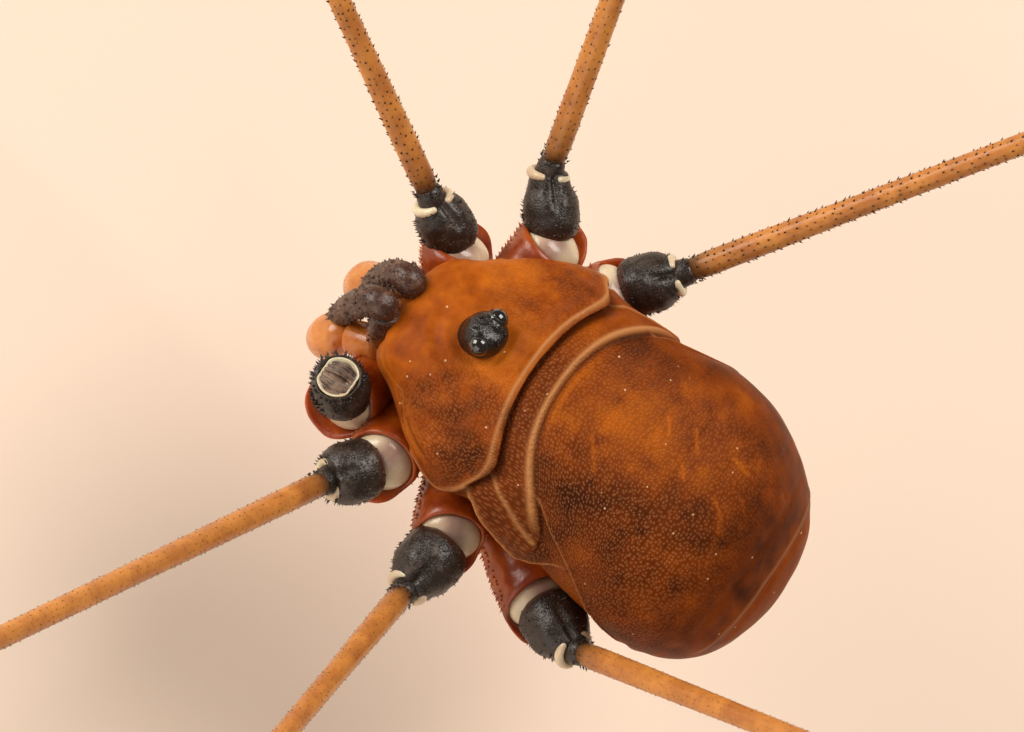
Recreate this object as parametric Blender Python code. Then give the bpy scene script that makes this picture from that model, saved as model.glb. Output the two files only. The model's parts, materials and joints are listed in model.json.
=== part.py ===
"""A harvestman at life size, standing still on the six legs that it has left.

The head looks along -Y, the animal's left is +X and +Z is up. Sizes are in
millimetres, and each mesh is turned into metres where it is made. Body
coordinates are measured from the middle of the eye mound.
"""

import math
from typing import NamedTuple

import bmesh
import bpy
from mathutils import Vector

MM = 0.001
SHARP_EDGE_DEG = 50.0

# Stance
EYE_MOUND_HEIGHT = 7.6
BODY_GAP = 0.2
JOINT_GAP = 0.3
EYE_GAP = 0.05

# Body outline
FRONT_Y = -1.07
FRONT_ROUND_Y = -0.70
FRONT_ROUND_POWER = 3.0
REAR_ROUND_Y = 3.45
REAR_Y = 5.46
REAR_ROUND_POWER = 2.5
BACK_POWER = 2.25
BODY_SIDES = 44
BODY_RING_STEP = 0.15
BAND_RING_STEP = 0.06
BAND_END_Y = 1.5
SHIELD_RING_STEP = 0.22
FRONT_RINGS = 6
REAR_RINGS = 9

# The furrow behind the carapace, and the light rim at the front of the hind shield
FURROW_Y = 0.75
RIM_Y = 1.24

# Eye mound and eyes
MOUND_HALF_WIDTH = 0.34
MOUND_HALF_LENGTH = 0.33
MOUND_TOP = 0.2
MOUND_STEPS = 7
MOUND_SIDES = 20
MOUND_SIDE_POWER = 0.7
EYE_RADIUS = 0.13
EYE_OUT = 0.25
EYE_UP = 0.04
EYE_TURN_DEG = 36.0
EYE_STEPS = 8
EYE_SIDES = 14

# Legs
LIMB_SIDES = 12
COXA_SIDES = 14
COXA_RING_STEP = 0.25
COXA_ROOT_RADIUS = 0.17
COXA_WIDENING = 0.26
COXA_RADIUS = 0.50
COXA_END_RADIUS = 0.34
TROCHANTER_LENGTH = 0.75
STUMP_SOCKET_RADIUS = 0.24
STUMP_SOCKET_DEPTH = 0.12
FEMUR_RADIUS = 0.26
KNEE_RADIUS = 0.31
SHIN_RADIUS = 0.26
TARSUS_RADIUS = 0.25
TARSUS_TIP_RADIUS = 0.13
TARSUS_STEEPER_DEG = 6.0
TARSUS_STEPS = 14
TARSUS_SIDES = 10
END_ROUND = 0.06
FOOT_SINK = 0.06


class Station(NamedTuple):
    """One cross-section of the body, at a place along its length."""

    y: float
    half_width: float
    crest: float
    side: float
    belly: float
    belly_power: float


class Leg(NamedTuple):
    """One leg: where its coxa starts and ends, and how its pieces point.

    Headings are measured from straight ahead towards the leg's own side, and
    rises from the level. A leg without lengths is lost beyond its trochanter.
    """

    name: str
    coxa_root: tuple
    coxa_end: tuple
    trochanter_heading: float
    trochanter_rise: float
    femur_heading: float
    femur_rise: float
    lengths: tuple


class Finish(NamedTuple):
    """The colour and sheen of one kind of surface."""

    name: str
    colour: tuple
    roughness: float


BODY_STATIONS = (
    Station(-1.07, 0.86, -0.82, -1.12, -1.80, 2.0),
    Station(-0.60, 1.16, -0.47, -1.10, -2.00, 1.6),
    Station(0.00, 1.55, -0.27, -1.02, -2.10, 1.4),
    Station(0.70, 1.84, -0.03, -0.92, -2.20, 1.4),
    Station(1.25, 1.74, 0.14, -0.80, -2.30, 1.6),
    Station(1.80, 1.76, 0.26, -0.78, -2.42, 1.9),
    Station(3.10, 1.92, 0.27, -0.92, -2.55, 2.2),
    Station(4.20, 1.92, 0.00, -1.38, -2.62, 2.2),
    Station(5.46, 1.88, -0.64, -1.76, -2.56, 2.2),
)

# Raised lines across the back: place, height and width, with a dip as a height below 0
CROSS_LINES = ((0.60, 0.035, 0.07), (RIM_Y, 0.05, 0.08), (1.42, -0.03, 0.08))

# How far a cross line on the back is bowed rearward, as y added per square of x
BOWS = ((-0.6, 0.0), (FURROW_Y, 0.2), (RIM_Y, 0.37), (3.2, 0.0))

# How much further forward a cross line lies on the belly than on the back
LEANS = ((-0.6, 0.0), (FURROW_Y, 0.55), (3.2, 0.0))

# Heights and radii of the barrel between coxa and femur
TROCHANTER_PROFILE = (
    (0.0, 0.22),
    (0.08, 0.30),
    (0.20, 0.365),
    (0.36, 0.385),
    (0.52, 0.37),
    (TROCHANTER_LENGTH - 0.06, 0.31),
    (TROCHANTER_LENGTH, 0.27),
)

# Lengths of femur, patella, tibia, metatarsus and tarsus
LEG_1 = (6.8, 1.2, 6.0, 6.5, 11.0)
LEG_2 = (12.0, 1.5, 11.0, 11.0, 21.0)
LEG_3 = (6.8, 1.2, 5.6, 8.0, 10.5)
LEG_4 = (9.6, 1.3, 8.2, 12.0, 14.0)
LOST = ()

LEGS = (
    Leg("left_1", (0.42, -0.50, -2.10), (1.24, -0.75, -1.80), 20, 48, 0, 0, LOST),
    Leg("left_2", (0.45, 0.02, -2.22), (1.88, 0.18, -1.55), 45, 5, 64, 35, LEG_2),
    Leg("left_3", (0.50, 0.56, -2.30), (2.08, 1.30, -1.65), 88, 2, 81, 40, LEG_3),
    Leg("left_4", (0.90, 1.10, -2.38), (1.95, 2.80, -2.15), 155, 28, 173, 58, LEG_4),
    Leg("right_1", (-0.42, -0.50, -2.10), (-1.24, -0.75, -1.80), 15, 31, 19, 30, LEG_1),
    Leg("right_2", (-0.45, 0.02, -2.22), (-1.95, 0.08, -1.55), 55, 20, 67, 40, LEG_2),
    Leg("right_3", (-0.50, 0.56, -2.30), (-2.08, 1.30, -1.65), 130, 25, 125, 30, LEG_3),
    Leg("right_4", (-0.90, 1.10, -2.38), (-1.87, 2.82, -2.20), 165, -15, 0, 0, LOST),
)

# Mouthparts of the left side, as points along each piece and its radii
CHELICERA_BASE = ((0.30, -0.66, -1.60), (0.32, -0.96, -1.86), (0.34, -1.14, -2.04))
CHELICERA_BASE_RADII = (0.24, 0.25, 0.22)
CHELICERA_HAND = (
    (0.35, -1.24, -2.18),
    (0.35, -1.30, -2.30),
    (0.36, -1.31, -2.58),
    (0.36, -1.26, -2.88),
    (0.34, -1.18, -3.12),
    (0.31, -1.10, -3.30),
)
CHELICERA_HAND_RADII = (0.16, 0.25, 0.28, 0.24, 0.15, 0.06)
PALP_FEMUR = ((0.90, -0.80, -1.66), (0.84, -1.10, -1.44), (0.64, -1.40, -1.06))
PALP_FEMUR_RADII = (0.25, 0.25, 0.25)
PALP_TIP = (
    (0.52, -1.52, -0.84),
    (0.44, -1.62, -0.80),
    (0.38, -1.78, -0.96),
    (0.36, -1.88, -1.32),
    (0.37, -1.92, -1.80),
    (0.38, -1.92, -2.25),
    (0.40, -1.86, -2.70),
    (0.42, -1.76, -3.02),
)
PALP_TIP_RADII = (0.16, 0.25, 0.28, 0.26, 0.26, 0.25, 0.19, 0.09)

CUTICLE = Finish("orange_cuticle", (0.39, 0.092, 0.008), 0.42)
HIND_CUTICLE = Finish("hind_cuticle", (0.36, 0.070, 0.006), 0.40)
COXA_CUTICLE = Finish("coxa_cuticle", (0.30, 0.045, 0.004), 0.25)
BLACK_CUTICLE = Finish("black_cuticle", (0.012, 0.009, 0.008), 0.35)
MOUND_BLACK = Finish("mound_black", (0.015, 0.010, 0.008), 0.40)
EYE_BLACK = Finish("eye_black", (0.004, 0.004, 0.004), 0.06)
LEG_TAN = Finish("leg_tan", (0.52, 0.22, 0.06), 0.40)
PALP_BROWN = Finish("palp_brown", (0.10, 0.040, 0.018), 0.45)
MOUTH_AMBER = Finish("mouth_amber", (0.60, 0.24, 0.06), 0.35)


def clear_scene():
    """Removes what the scene holds."""
    for existing in list(bpy.data.objects):
        bpy.data.objects.remove(existing, do_unlink=True)


def material_for(finish):
    """The material of a finish, made once."""
    material = bpy.data.materials.get(finish.name)
    if material is None:
        material = bpy.data.materials.new(finish.name)
        material.use_nodes = True
        shader = material.node_tree.nodes["Principled BSDF"]
        shader.inputs["Base Color"].default_value = (*finish.colour, 1.0)
        shader.inputs["Roughness"].default_value = finish.roughness
        shader.inputs["Metallic"].default_value = 0.0
    return material


def add_object(name, mesh, finish, parent, place=(0.0, 0.0, 0.0)):
    """An object with its mesh, finish and place, carried by its parent."""
    mesh.materials.append(material_for(finish))
    made = bpy.data.objects.new(name, mesh)
    bpy.context.collection.objects.link(made)
    made.parent = parent
    made.location = Vector(place) * MM
    return made


def lofted_mesh(name, rings, first_tip, last_tip):
    """A closed smooth mesh through rings of points, with a fan to a tip at each end."""
    build = bmesh.new()
    loops = [[build.verts.new(point) for point in ring] for ring in rings]
    for near, far in zip(loops, loops[1:]):
        for index in range(len(near)):
            after = (index + 1) % len(near)
            build.faces.new((near[index], near[after], far[after], far[index]))
    for tip, loop in ((first_tip, loops[0]), (last_tip, loops[-1])):
        centre = build.verts.new(tip)
        for index in range(len(loop)):
            build.faces.new((loop[index], loop[(index + 1) % len(loop)], centre))
    bmesh.ops.recalc_face_normals(build, faces=build.faces)
    bmesh.ops.scale(build, vec=(MM, MM, MM), verts=build.verts)
    mesh = bpy.data.meshes.new(name)
    build.to_mesh(mesh)
    build.free()
    mesh.shade_smooth()
    mesh.set_sharp_from_angle(angle=math.radians(SHARP_EDGE_DEG))
    return mesh


def turned_mesh(name, profile, sides=LIMB_SIDES):
    """A closed body turned about its own Z from (height, radius) pairs, with flat ends."""
    rings = []
    for height, radius in profile:
        angles = (2 * math.pi * index / sides for index in range(sides))
        rings.append([Vector((radius * math.cos(a), radius * math.sin(a), height)) for a in angles])
    first = Vector((0, 0, profile[0][0]))
    last = Vector((0, 0, profile[-1][0]))
    return lofted_mesh(name, rings, first, last)


def tube_rings(path, radii, sides=LIMB_SIDES):
    """Rings of points square to a path that stays close to one plane."""
    side_way = (path[0] - path[-1]).cross(path[len(path) // 2] - path[-1])
    if side_way.length < 1e-6:
        side_way = (path[0] - path[-1]).orthogonal()
    rings = []
    for index, centre in enumerate(path):
        along = path[min(index + 1, len(path) - 1)] - path[max(index - 1, 0)]
        across = (side_way - side_way.project(along)).normalized()
        over = along.normalized().cross(across)
        angles = (2 * math.pi * step / sides for step in range(sides))
        radius = radii[index]
        rings.append([centre + radius * (math.cos(a) * across + math.sin(a) * over) for a in angles])
    return rings


def blend(low, high, share):
    """The value that lies a share of the way from low to high."""
    return low + (high - low) * share


def eased_station(y):
    """The body's cross-section at y, on smooth curves through the stations."""
    last = len(BODY_STATIONS) - 2
    index = 0
    while index < last and BODY_STATIONS[index + 1].y <= y:
        index += 1
    near, far = BODY_STATIONS[index], BODY_STATIONS[index + 1]
    before = BODY_STATIONS[max(index - 1, 0)]
    beyond = BODY_STATIONS[min(index + 2, last + 1)]
    span = far.y - near.y
    share = min(max((y - near.y) / span, 0.0), 1.0)
    values = [y]
    for field in range(1, len(near)):
        slope_near = (far[field] - before[field]) / (far.y - before.y)
        slope_far = (beyond[field] - near[field]) / (beyond.y - near.y)
        rise = share * share * (3 - 2 * share)
        swing_near = share * (1 - share) * (1 - share)
        swing_far = -share * share * (1 - share)
        eased = blend(near[field], far[field], rise)
        values.append(eased + span * (slope_near * swing_near + slope_far * swing_far))
    return Station(*values)


def end_fullness(y):
    """1 along the body, falling to 0 at its two rounded ends."""
    depth = 0.0
    power = REAR_ROUND_POWER
    if y < FRONT_ROUND_Y:
        depth = (FRONT_ROUND_Y - y) / (FRONT_ROUND_Y - FRONT_Y)
        power = FRONT_ROUND_POWER
    elif y > REAR_ROUND_Y:
        depth = (y - REAR_ROUND_Y) / (REAR_Y - REAR_ROUND_Y)
    return max(1 - min(depth, 1.0) ** power, 0.0) ** (1 / power)


def along_line(points, y):
    """The value at y on straight lines through (y, value) pairs, and 0 outside them."""
    for (near_y, near_value), (far_y, far_value) in zip(points, points[1:]):
        if near_y <= y <= far_y:
            return blend(near_value, far_value, (y - near_y) / (far_y - near_y))
    return 0.0


def relief_at(y):
    """How far the raised lines across the back lift it."""
    return sum(height * math.exp(-(((y - place) / width) ** 2)) for place, height, width in CROSS_LINES)


def signed_power(value, power):
    """A value raised to a power, keeping its sign."""
    return math.copysign(abs(value) ** power, value)


def body_point(ring_y, angle, fullness=1.0, grow=0.0):
    """A point of the body's cross line that starts at ring_y on the middle of the back.

    Angle 0 is the left side and a quarter turn the back. Fullness below 1
    gives a point inside the body, and grow one that lies outside it.
    """
    x = 0.0
    lean = along_line(LEANS, ring_y) * (1 - fullness * math.sin(angle)) / 2
    for _ in range(4):
        y = ring_y + along_line(BOWS, ring_y) * x * x - lean
        station = eased_station(y)
        full = end_fullness(y) * fullness
        above = math.sin(angle) >= 0
        power = BACK_POWER if above else station.belly_power
        swell = grow + (relief_at(ring_y) * fullness if above else 0.0)
        x = (station.half_width * full + swell) * signed_power(math.cos(angle), 2 / power)
    height = station.crest - station.side if above else station.side - station.belly
    z = station.side + (height * full + swell) * signed_power(math.sin(angle), 2 / power)
    middle = (FRONT_Y + REAR_Y) / 2
    return Vector((x, middle + (y - middle) * (1 + 2 * grow / (REAR_Y - FRONT_Y)), z))


def body_ring(ring_y, fullness=1.0, grow=0.0):
    """One closed cross line of the body."""
    angles = (2 * math.pi * index / BODY_SIDES for index in range(BODY_SIDES))
    return [body_point(ring_y, angle, fullness, grow) for angle in angles]


def spread(start, end, step):
    """Evenly spaced values from start to end, about a step apart."""
    count = max(round((end - start) / step), 1)
    return [blend(start, end, index / count) for index in range(count + 1)]


def rounded_end(start, end, count):
    """Values from start towards end that crowd together as they near it."""
    return [blend(start, end, math.sin(math.pi / 2 * index / count)) for index in range(1, count)]


def body_slice(name, ring_places, front_closed_flat, rear_closed_flat, grow=0.0):
    """A closed length of the body between cross lines, with a flat or rounded end."""
    rings = [body_ring(place, grow=grow) for place in ring_places]
    inner_shares = (0.7, 0.35)
    if front_closed_flat:
        inner = [body_ring(ring_places[0], share) for share in inner_shares]
        rings = inner[::-1] + rings
    if rear_closed_flat:
        rings += [body_ring(ring_places[-1], share) for share in inner_shares]
    tips = []
    for place, flat, end in (
        (ring_places[0], front_closed_flat, FRONT_Y - grow),
        (ring_places[-1], rear_closed_flat, REAR_Y + grow),
    ):
        station = eased_station(place)
        tips.append(Vector((0.0, place if flat else end, station.side)))
    return lofted_mesh(name, rings, *tips)


def make_body(root):
    """The prosoma and the abdomen, parted at the furrow behind the carapace."""
    front = rounded_end(FRONT_ROUND_Y, FRONT_Y, FRONT_RINGS)[::-1]
    prosoma_places = front + spread(FRONT_ROUND_Y, FURROW_Y - BODY_GAP / 2, BODY_RING_STEP)
    rear = rounded_end(REAR_ROUND_Y, REAR_Y, REAR_RINGS)
    band = spread(FURROW_Y + BODY_GAP / 2, BAND_END_Y, BAND_RING_STEP)
    abdomen_places = band + spread(BAND_END_Y, REAR_ROUND_Y, SHIELD_RING_STEP)[1:] + rear
    add_object("prosoma", body_slice("prosoma", prosoma_places, False, True), CUTICLE, root)
    add_object("abdomen", body_slice("abdomen", abdomen_places, True, False), HIND_CUTICLE, root)


def make_clearance(root):
    """A guide a little larger than the body, which cuts the limbs clear of it."""
    front = rounded_end(FRONT_ROUND_Y, FRONT_Y, FRONT_RINGS)[::-1]
    rear = rounded_end(REAR_ROUND_Y, REAR_Y, REAR_RINGS)
    places = front + spread(FRONT_ROUND_Y, REAR_ROUND_Y, SHIELD_RING_STEP) + rear
    mesh = body_slice("body_clearance", places, False, False, grow=BODY_GAP)
    clearance = add_object("body_clearance", mesh, CUTICLE, root)
    clearance.hide_render = True
    clearance.display_type = "WIRE"
    return clearance


def cut_clear(limb, clearance):
    """Cuts a limb's root where it would enter the body."""
    cut = limb.modifiers.new("clear of the body", "BOOLEAN")
    cut.operation = "DIFFERENCE"
    cut.solver = "EXACT"
    cut.object = clearance


def surface_height(x, y):
    """The height of the back above a place near the middle."""
    station = eased_station(y)
    share = min(abs(x) / station.half_width, 1.0)
    return station.side + (station.crest - station.side) * (1 - share**BACK_POWER) ** (1 / BACK_POWER)


def make_eye_mound(root):
    """The mound on the carapace, with an eye set into each side."""
    rings = []
    for step in range(MOUND_STEPS):
        turn = math.pi / 2 * step / MOUND_STEPS
        wide = math.cos(turn) ** MOUND_SIDE_POWER
        ring = []
        for index in range(MOUND_SIDES):
            angle = 2 * math.pi * index / MOUND_SIDES
            x = MOUND_HALF_WIDTH * wide * math.cos(angle)
            y = MOUND_HALF_LENGTH * wide * math.sin(angle)
            foot = surface_height(x, y) + EYE_GAP
            ring.append(Vector((x, y, blend(foot, MOUND_TOP, math.sin(turn)))))
        rings.append(ring)
    foot_middle = Vector((0.0, 0.0, surface_height(0.0, 0.0) + EYE_GAP))
    mesh = lofted_mesh("eye_mound", rings, foot_middle, Vector((0.0, 0.0, MOUND_TOP)))
    mound = add_object("eye_mound", mesh, MOUND_BLACK, root)
    for side, sign in (("left", 1), ("right", -1)):
        place = Vector((sign * EYE_OUT, 0.0, EYE_UP))
        socket = eye_ball("eye_socket_" + side, EYE_RADIUS + EYE_GAP, root, place)
        socket.hide_render = True
        socket.display_type = "WIRE"
        cut_clear(mound, socket)
        eye_ball("eye_" + side, EYE_RADIUS, root, place)


def eye_ball(name, radius, root, place):
    """One ball, as an eye or as its socket's cutter."""
    profile = []
    for index in range(1, EYE_STEPS):
        turn = math.pi * index / EYE_STEPS
        profile.append((-radius * math.cos(turn), radius * math.sin(turn)))
    rings = []
    for height, ring_radius in profile:
        angles = (2 * math.pi * index / EYE_SIDES for index in range(EYE_SIDES))
        rings.append([Vector((ring_radius * math.cos(a), ring_radius * math.sin(a), height)) for a in angles])
    mesh = lofted_mesh(name, rings, Vector((0, 0, -radius)), Vector((0, 0, radius)))
    ball = add_object(name, mesh, EYE_BLACK, root, place)
    ball.rotation_euler = (0.0, math.copysign(math.radians(90 - EYE_TURN_DEG), place.x), 0.0)
    return ball


def heading_vector(side_sign, heading_deg, rise_deg):
    """A unit vector from a heading towards one side and a rise."""
    heading = math.radians(heading_deg)
    rise = math.radians(rise_deg)
    level = math.cos(rise)
    return Vector((side_sign * level * math.sin(heading), -level * math.cos(heading), math.sin(rise)))


def place_along(made, direction):
    """Turns an object so that its own Z lies along a direction."""
    made.rotation_mode = "QUATERNION"
    made.rotation_quaternion = direction.to_track_quat("Z", "Y")


def segment_profile(length, radii):
    """Heights and radii of a straight piece with softly rounded ends."""
    profile = [(0.0, radii[0] - END_ROUND)]
    for index, radius in enumerate(radii):
        height = END_ROUND + (length - 2 * END_ROUND) * index / (len(radii) - 1)
        profile.append((height, radius))
    profile.append((length, radii[-1] - END_ROUND))
    return profile


def make_coxa(leg, root, clearance):
    """The coxa, fixed to the body's underside and ending at its leg joint."""
    start = Vector(leg.coxa_root)
    end = Vector(leg.coxa_end)
    along = (end - start).normalized()
    length = (end - start).length - BODY_GAP / 2
    distances = spread(0.0, length, COXA_RING_STEP)
    radii = [min(COXA_ROOT_RADIUS + COXA_WIDENING * distance, COXA_RADIUS) for distance in distances]
    radii[-1] = min(radii[-1], COXA_END_RADIUS)
    mesh = turned_mesh("coxa_" + leg.name, segment_profile(length, radii), COXA_SIDES)
    coxa = add_object("coxa_" + leg.name, mesh, COXA_CUTICLE, root, start)
    place_along(coxa, along)
    cut_clear(coxa, clearance)


def make_trochanter(leg, root):
    """The barrel between coxa and femur. A lost leg leaves its open socket."""
    sign = math.copysign(1, leg.coxa_end[0])
    along = heading_vector(sign, leg.trochanter_heading, leg.trochanter_rise)
    start = Vector(leg.coxa_end) + along * BODY_GAP / 2
    profile = list(TROCHANTER_PROFILE)
    if not leg.lengths:
        profile.append((TROCHANTER_LENGTH - STUMP_SOCKET_DEPTH / 3, STUMP_SOCKET_RADIUS - 0.02))
        profile.append((TROCHANTER_LENGTH - STUMP_SOCKET_DEPTH, STUMP_SOCKET_RADIUS - 0.06))
    mesh = turned_mesh("trochanter_" + leg.name, profile)
    trochanter = add_object("trochanter_" + leg.name, mesh, BLACK_CUTICLE, root, start)
    place_along(trochanter, along)
    return start + along * TROCHANTER_LENGTH


def tarsus_drop(length, slope):
    """How far a tarsus comes down while its slope eases evenly to the level."""
    return length * (1 - math.cos(slope)) / slope


def fall_to_floor(knee_height, leg, foot_height):
    """The tibia's downward slope that brings the foot to the floor."""
    _, patella, tibia, metatarsus, tarsus = leg.lengths
    low, high = math.radians(2), math.radians(80)
    for _ in range(40):
        fall = (low + high) / 2
        steeper = fall + math.radians(TARSUS_STEEPER_DEG)
        knee_slope = (math.radians(leg.femur_rise) - fall) / 2
        drop = -patella * math.sin(knee_slope) + (tibia + JOINT_GAP) * math.sin(fall)
        drop += (metatarsus + JOINT_GAP) * math.sin(steeper) + tarsus_drop(tarsus, steeper)
        if drop < knee_height - foot_height:
            low = fall
        else:
            high = fall
    return fall


def make_straight(name, length, radii, start, along, root):
    """One straight leg piece. Returns where the next one starts."""
    mesh = turned_mesh(name, segment_profile(length, radii))
    piece = add_object(name, mesh, LEG_TAN, root, start)
    place_along(piece, along)
    return start + along * (length + JOINT_GAP)


def make_tarsus(leg, start, heading, slope, root):
    """The long whip-like foot, easing to the level and flat where it lies on the floor."""
    length = leg.lengths[-1]
    path = []
    radii = []
    for index in range(TARSUS_STEPS + 1):
        share = index / TARSUS_STEPS
        easing = slope * (1 - share)
        reach = length * (math.sin(slope) - math.sin(easing)) / slope
        drop = length * (math.cos(easing) - math.cos(slope)) / slope
        path.append(heading * reach - Vector((0, 0, drop)))
        radii.append(blend(TARSUS_RADIUS, TARSUS_TIP_RADIUS, max(share - 0.5, 0.0) * 2))
    rings = tube_rings(path, radii, TARSUS_SIDES)
    floor = -EYE_MOUND_HEIGHT - start.z
    for ring in rings:
        for point in ring:
            point.z = max(point.z, floor)
    tips = [path[0], path[-1] + Vector((0, 0, 0.02))]
    mesh = lofted_mesh("tarsus_" + leg.name, rings, *tips)
    add_object("tarsus_" + leg.name, mesh, LEG_TAN, root, start)


def make_leg(leg, hip, root):
    """Femur to tarsus of one whole leg, from the end of its trochanter."""
    sign = math.copysign(1, leg.coxa_end[0])
    femur, patella, tibia, metatarsus, _ = leg.lengths
    along = heading_vector(sign, leg.femur_heading, leg.femur_rise)
    start = hip + along * BODY_GAP
    femur_radii = (FEMUR_RADIUS, FEMUR_RADIUS, FEMUR_RADIUS, FEMUR_RADIUS, KNEE_RADIUS)
    knee = make_straight("femur_" + leg.name, femur, femur_radii, start, along, root)
    foot_height = -EYE_MOUND_HEIGHT + TARSUS_TIP_RADIUS - FOOT_SINK
    patella_piece = leg._replace(lengths=(femur, patella + JOINT_GAP, *leg.lengths[2:]))
    fall = fall_to_floor(knee.z, patella_piece, foot_height)
    knee_slope = math.degrees((math.radians(leg.femur_rise) - fall) / 2)
    along = heading_vector(sign, leg.femur_heading, knee_slope)
    start = make_straight("patella_" + leg.name, patella, (KNEE_RADIUS, KNEE_RADIUS), knee, along, root)
    along = heading_vector(sign, leg.femur_heading, -math.degrees(fall))
    shin_radii = (SHIN_RADIUS, SHIN_RADIUS, SHIN_RADIUS)
    start = make_straight("tibia_" + leg.name, tibia, shin_radii, start, along, root)
    steeper = fall + math.radians(TARSUS_STEEPER_DEG)
    along = heading_vector(sign, leg.femur_heading, -math.degrees(steeper))
    start = make_straight("metatarsus_" + leg.name, metatarsus, shin_radii, start, along, root)
    make_tarsus(leg, start, heading_vector(sign, leg.femur_heading, 0), steeper, root)


def make_mouthpart(name, points, radii, sign, finish, root):
    """One bent piece of a chelicera or palp, mirrored to its side."""
    path = [Vector((sign * x, y, z)) for x, y, z in points]
    first, last = path[0], path[-1]
    rings = tube_rings(path, radii)
    mesh = lofted_mesh(name, rings, first, last)
    return add_object(name, mesh, finish, root)


def make_mouthparts(root, clearance):
    """The two chelicerae and the two palps."""
    for side, sign in (("left", 1), ("right", -1)):
        base = make_mouthpart(
            "chelicera_base_" + side, CHELICERA_BASE, CHELICERA_BASE_RADII, sign, MOUTH_AMBER, root
        )
        make_mouthpart(
            "chelicera_hand_" + side, CHELICERA_HAND, CHELICERA_HAND_RADII, sign, MOUTH_AMBER, root
        )
        femur = make_mouthpart("palp_femur_" + side, PALP_FEMUR, PALP_FEMUR_RADII, sign, MOUTH_AMBER, root)
        make_mouthpart("palp_tip_" + side, PALP_TIP, PALP_TIP_RADII, sign, PALP_BROWN, root)
        cut_clear(base, clearance)
        cut_clear(femur, clearance)


def centre_on_floor(root):
    """Moves the whole animal so that its outline is centred over the origin."""
    bpy.context.view_layer.update()
    lows, highs = [math.inf, math.inf], [-math.inf, -math.inf]
    for child in root.children:
        for vertex in child.data.vertices:
            point = child.matrix_world @ vertex.co
            for axis in (0, 1):
                lows[axis] = min(lows[axis], point[axis])
                highs[axis] = max(highs[axis], point[axis])
    root.location.x -= (lows[0] + highs[0]) / 2
    root.location.y -= (lows[1] + highs[1]) / 2


def main():
    """Builds the animal from its body outward."""
    clear_scene()
    root = bpy.data.objects.new("stance", None)
    bpy.context.collection.objects.link(root)
    root.location = (0.0, 0.0, EYE_MOUND_HEIGHT * MM)
    make_body(root)
    clearance = make_clearance(root)
    make_eye_mound(root)
    make_mouthparts(root, clearance)
    for leg in LEGS:
        make_coxa(leg, root, clearance)
        hip = make_trochanter(leg, root)
        if leg.lengths:
            make_leg(leg, hip, root)
    centre_on_floor(root)


main()
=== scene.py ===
"""The looks of a harvestman at life size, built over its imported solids.

Body places are in millimetres from the middle of the eye mound: the animal's
left is +X, its rear is +Y and up is +Z. Meshes are written in metres.
"""

from __future__ import annotations

import json
import logging
import math
from dataclasses import dataclass, field, replace
from enum import Enum
from typing import Callable

import bpy
import numpy as np
from mathutils import Matrix, Vector

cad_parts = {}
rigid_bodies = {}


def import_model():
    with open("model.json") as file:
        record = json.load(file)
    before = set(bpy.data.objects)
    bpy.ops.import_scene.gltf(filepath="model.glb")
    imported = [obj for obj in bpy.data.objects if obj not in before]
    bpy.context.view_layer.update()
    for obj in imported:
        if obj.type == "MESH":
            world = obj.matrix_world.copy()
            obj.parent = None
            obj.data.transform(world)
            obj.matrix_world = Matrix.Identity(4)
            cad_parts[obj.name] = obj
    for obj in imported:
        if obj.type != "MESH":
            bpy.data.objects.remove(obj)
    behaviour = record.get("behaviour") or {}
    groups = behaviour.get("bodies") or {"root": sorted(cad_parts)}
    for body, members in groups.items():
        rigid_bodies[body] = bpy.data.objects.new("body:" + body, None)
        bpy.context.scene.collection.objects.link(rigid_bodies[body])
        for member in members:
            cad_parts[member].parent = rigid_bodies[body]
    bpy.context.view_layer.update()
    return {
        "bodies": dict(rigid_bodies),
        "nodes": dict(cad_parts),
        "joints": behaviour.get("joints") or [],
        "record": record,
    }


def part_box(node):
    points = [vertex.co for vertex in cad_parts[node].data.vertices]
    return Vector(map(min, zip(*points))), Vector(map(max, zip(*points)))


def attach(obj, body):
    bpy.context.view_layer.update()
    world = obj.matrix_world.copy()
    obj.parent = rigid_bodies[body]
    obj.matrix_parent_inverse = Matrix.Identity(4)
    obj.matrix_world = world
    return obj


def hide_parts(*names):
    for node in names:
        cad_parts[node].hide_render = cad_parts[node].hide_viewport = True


LOG = logging.getLogger("harvestman")
MM = 0.001

Row = tuple[float, ...]
Line = tuple[tuple[float, float], ...]


class Side(Enum):
    """The two sides of the animal, as the sign of X."""

    LEFT = 1
    RIGHT = -1

    @property
    def word(self) -> str:
        """The side's name as it stands in a node's name."""
        return self.name.lower()


# Numbers over arrays


def smooth_step(low: float, high: float, value: np.ndarray) -> np.ndarray:
    """Rises smoothly from 0 at low to 1 at high.

    Args:
        low: the value where the rise starts.
        high: the value where it ends.
        value: the values to grade.

    Returns:
        The graded values, from 0 to 1.
    """
    share = np.clip((value - low) / (high - low), 0.0, 1.0)
    return share * share * (3 - 2 * share)


def bell(distance: np.ndarray, width: float) -> np.ndarray:
    """A soft bump of height 1 at distance 0."""
    return np.exp(-((distance / width) ** 2))


def signed_power(value: np.ndarray, power: np.ndarray | float) -> np.ndarray:
    """Values raised to a power, keeping their signs."""
    return np.sign(value) * np.abs(value) ** power


def line_distance(along: np.ndarray, across: np.ndarray, line: Line) -> np.ndarray:
    """How far each place lies from a line on the surface.

    Args:
        along: places along the body, in millimetres.
        across: places round the body from the middle of the back.
        line: the line's corners as (along, across) pairs.

    Returns:
        Distances in millimetres.
    """
    nearest = np.full(np.broadcast(along, across).shape, np.inf)
    for (a0, c0), (a1, c1) in zip(line, line[1:]):
        run_a, run_c = a1 - a0, c1 - c0
        share = ((along - a0) * run_a + (across - c0) * run_c) / (run_a**2 + run_c**2)
        share = np.clip(share, 0.0, 1.0)
        gap = np.hypot(along - a0 - share * run_a, across - c0 - share * run_c)
        nearest = np.minimum(nearest, gap)
    return nearest


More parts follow.
